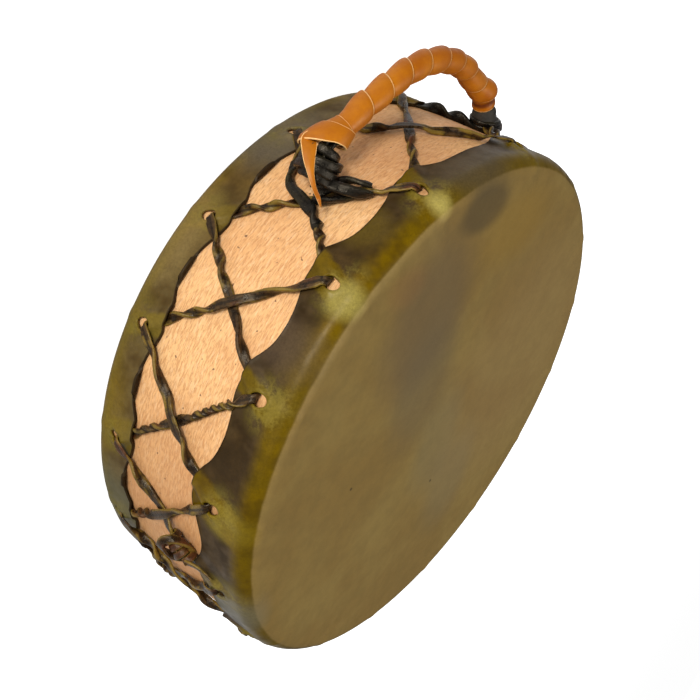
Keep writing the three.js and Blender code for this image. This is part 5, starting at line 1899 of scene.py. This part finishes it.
# %% The wound turns
def wrap_turn_points(turns, shares, skins):
    """Points of the strip's section at a number of turns, and how near each is to the fold."""
    low = WRAP_FROM + WRAP_PITCH * turns
    wide = WRAP_END_WIDTH + (WRAP_WIDTH - WRAP_END_WIDTH) * float(smooth_share(turns, 0, WRAP_WIDENING))
    room = WRAP_END - low
    slope = (WRAP_THICKNESS + WRAP_LAP_GAP) / WRAP_PITCH
    hidden = WRAP_OVERLAP / WRAP_WIDTH
    inside = np.clip(shares, 0, 1)
    cup = CUPPING * np.abs(np.sin(math.pi * (inside - hidden) / (1 - hidden))) ** 0.8
    tuck = LIP_TUCK * smooth_share(inside, 0.86, 1.0)
    wobble = 1.4 * noise.noise((turns * 1.7, turns * 0.31, 0)) if wide < room - 2 else 0.0
    wave = 0.25 * noise.noise((turns * 3.1, 7.0, 0))
    distance = low + min(wide, room) * shares + wobble * inside ** 3
    crease = np.exp(-((distance - WRAP_END + FOLD_FROM_END) / FOLD_HALF) ** 2)
    inner = STRAND_RADIUS + strand_offset(STRAND_RADIUS) + WRAP_CLEAR
    flare = END_FLARE * smooth_share(distance, WRAP_TO - 1.5, WRAP_TO + 1.5)
    radius = inner + slope * (distance - low) + cup - tuck + wave + flare
    radius = radius + (WRAP_THICKNESS - 0.7 * crease) * skins
    turn = math.radians(WRAP_FIRST_TURN) - 2 * math.pi * turns
    towards = max(0.0, math.cos(turn - math.radians(BULGE_SIDE)))
    bulge = np.exp(-((distance - BULGE_AT) / BULGE_SPREAD) ** 2) * towards
    return round_handle(distance, radius + BULGE * bulge, turn)[0], crease


print("the section has", len(wrap_section()[0]), "points")

# %% [markdown]
# At the left the strip's free end goes round the handle as a collar with a flared rim, and then hangs over
# the knot as a narrow tail. Tables give the collar's edges over its turns. The tail is a curve through a few
# places, turned so that its face looks the way it does on the real drum.

# %% The collar that the strip's free end makes, and the tail
TAIL_FACING = unit(np.array([-0.68, 0.42, 0.60]))
COLLAR_FIRST_TURN = 200
COLLAR_TURNS = 1.86
COLLAR_UNDER = [(0.0, 4.7), (0.9, 4.9), (1.25, 5.8), (1.86, 5.9)]
COLLAR_RIGHT = [(0.0, 28.4), (0.35, 28.2), (0.5, 28.6), (0.67, 29.8), (1.0, 30.2), (1.25, 28.8), (1.33, 27.6),
                (1.45, 25.6), (1.61, 23.6), (1.74, 22.6), (1.86, 22.6)]
COLLAR_LEFT = [(0.0, 20.5), (1.0, 20.0), (1.31, 19.4), (1.43, 18.0), (1.56, 15.4),
               (1.74, 11.8), (1.86, 11.6)]
COLLAR_CUP_FROM = 28.5
COLLAR_REACH = 13.5
COLLAR_SWELL = 2.0
COLLAR_SIDE_SWELL = 4.6
COLLAR_SIDE = -58
TAIL_ROUTE = [(-11.6, -9.6, 14.4), (-10.2, -7.3, 11.6), (-11.5, -2.7, 9.1), (-11.0, 2.5, 5.7),
              (-8.9, 7.2, 1.9), (-6.4, 11.1, -1.2), (-2.8, 13.5, -4.4)]
TAIL_WIDTHS = [0.7, 1.8, 2.0, 3.0, 5.2, 6.8, 7.4]
TAIL_TOP = (18.2, 5.6, -38)
TAIL_TOP_WIDTH = 4.2


def collar_points(turns, shares, skins):
    """Points of the strip's section on the collar, at a number of turns."""
    left = np.interp(turns, *zip(*COLLAR_LEFT))
    right = np.interp(turns, *zip(*COLLAR_RIGHT))
    distance = left + (right - left) * shares
    turn = math.radians(COLLAR_FIRST_TURN - 360 * turns)
    sideways = max(0.0, math.cos(turn - math.radians(COLLAR_SIDE)))
    spread = np.clip((COLLAR_CUP_FROM - distance) / COLLAR_REACH, 0, 1) ** 1.2
    radius = np.interp(turns, *zip(*COLLAR_UNDER)) + (COLLAR_SWELL + COLLAR_SIDE_SWELL * sideways) * spread
    bow = 0.3 * np.sin(math.pi * np.clip(shares, 0, 1))
    wave = 0.2 * noise.noise((turns * 2.3, 3.0, 0))
    return round_handle(distance, radius + bow + wave + WRAP_THICKNESS * skins, turn)[0]


def tail_rings(shares, skins):
    """The free end's sections from its tip up to the collar, each facing the viewer's side."""
    distance, radius, turn = TAIL_TOP
    top = round_handle(distance, radius, math.radians(turn))[0]
    route = np.vstack([LEFT_ROOT + np.array(TAIL_ROUTE), top])
    widths = [*TAIL_WIDTHS, TAIL_TOP_WIDTH]
    route = curve_through(np.hstack([route, np.array(widths)[:, None]]), 6)
    at, width = route[:, :3], route[:, 3:]
    heading = unit(np.gradient(at, axis=0))
    facing = TAIL_FACING - heading * (heading @ TAIL_FACING)[:, None]
    facing = unit(facing)
    across = np.cross(heading, facing)
    bow = 0.4 * np.cos(math.pi * (shares - 0.5)) * np.minimum(1.0, width / 5)
    sideways = (shares - 0.5) * width
    rise = (skins - 0.5) * WRAP_THICKNESS + bow
    return list(at[:, None] + across[:, None] * sideways[..., None] + facing[:, None] * rise[..., None])


print("the tail has", len(TAIL_ROUTE) + 1, "places, and the collar makes", COLLAR_TURNS, "turns")

# %% [markdown]
# Turns, collar and tail are all rings of the same section, so the same faces close each of them, and one mesh
# holds them as one strip of leather. It keeps the masks that the leather's finish reads.

# %% The whole wrap
COLLAR_RINGS = 84
FOLDED_TURNS = 2.2


def shell_faces(count, size, first):
    """Faces of a closed strip made of rings of the same size."""
    ring = [(first + i * size + j, first + i * size + (j + 1) % size, first + (i + 1) * size + (j + 1) % size,
             first + (i + 1) * size + j) for i in range(count - 1) for j in range(size)]
    last = first + (count - 1) * size
    return ring + [tuple(range(first, first + size)), tuple(reversed(range(last, last + size)))]


def wrap_piece():
    """The strip's turns, collar and tail as one piece."""
    shares, skins, edges = wrap_section()
    wound, fold_shade_masks = [], []
    for i in range(int(WRAP_TURNS * WRAP_STEPS) + 1):
        ring, crease = wrap_turn_points(i / WRAP_STEPS, shares, skins)
        wound.append(ring)
        # The fold's mask, kept only for the painted shade in the fold.
        fold_shade_masks.append(crease if i / WRAP_STEPS > WRAP_TURNS - FOLDED_TURNS else np.zeros(len(shares)))
    collar = [collar_points(t, shares, skins) for t in np.linspace(0, COLLAR_TURNS, COLLAR_RINGS)]
    tail = tail_rings(shares, skins)
    points, faces = [], []
    for rings in (wound, collar, tail):
        faces += shell_faces(len(rings), len(shares), len(points) * len(shares))
        points += rings
    fold_shade_masks += [np.zeros(len(shares))] * (len(collar) + len(tail))
    kept = {"cut_edge": np.tile(edges, len(points)), "fold": np.concatenate(fold_shade_masks)}
    piece = make_piece("wound_leather", np.vstack(points), faces, kept)
    face_outwards(piece)
    return piece


dress(wrap_piece(), LEATHER, "handle", "wrap_leather", "handle_wrap")
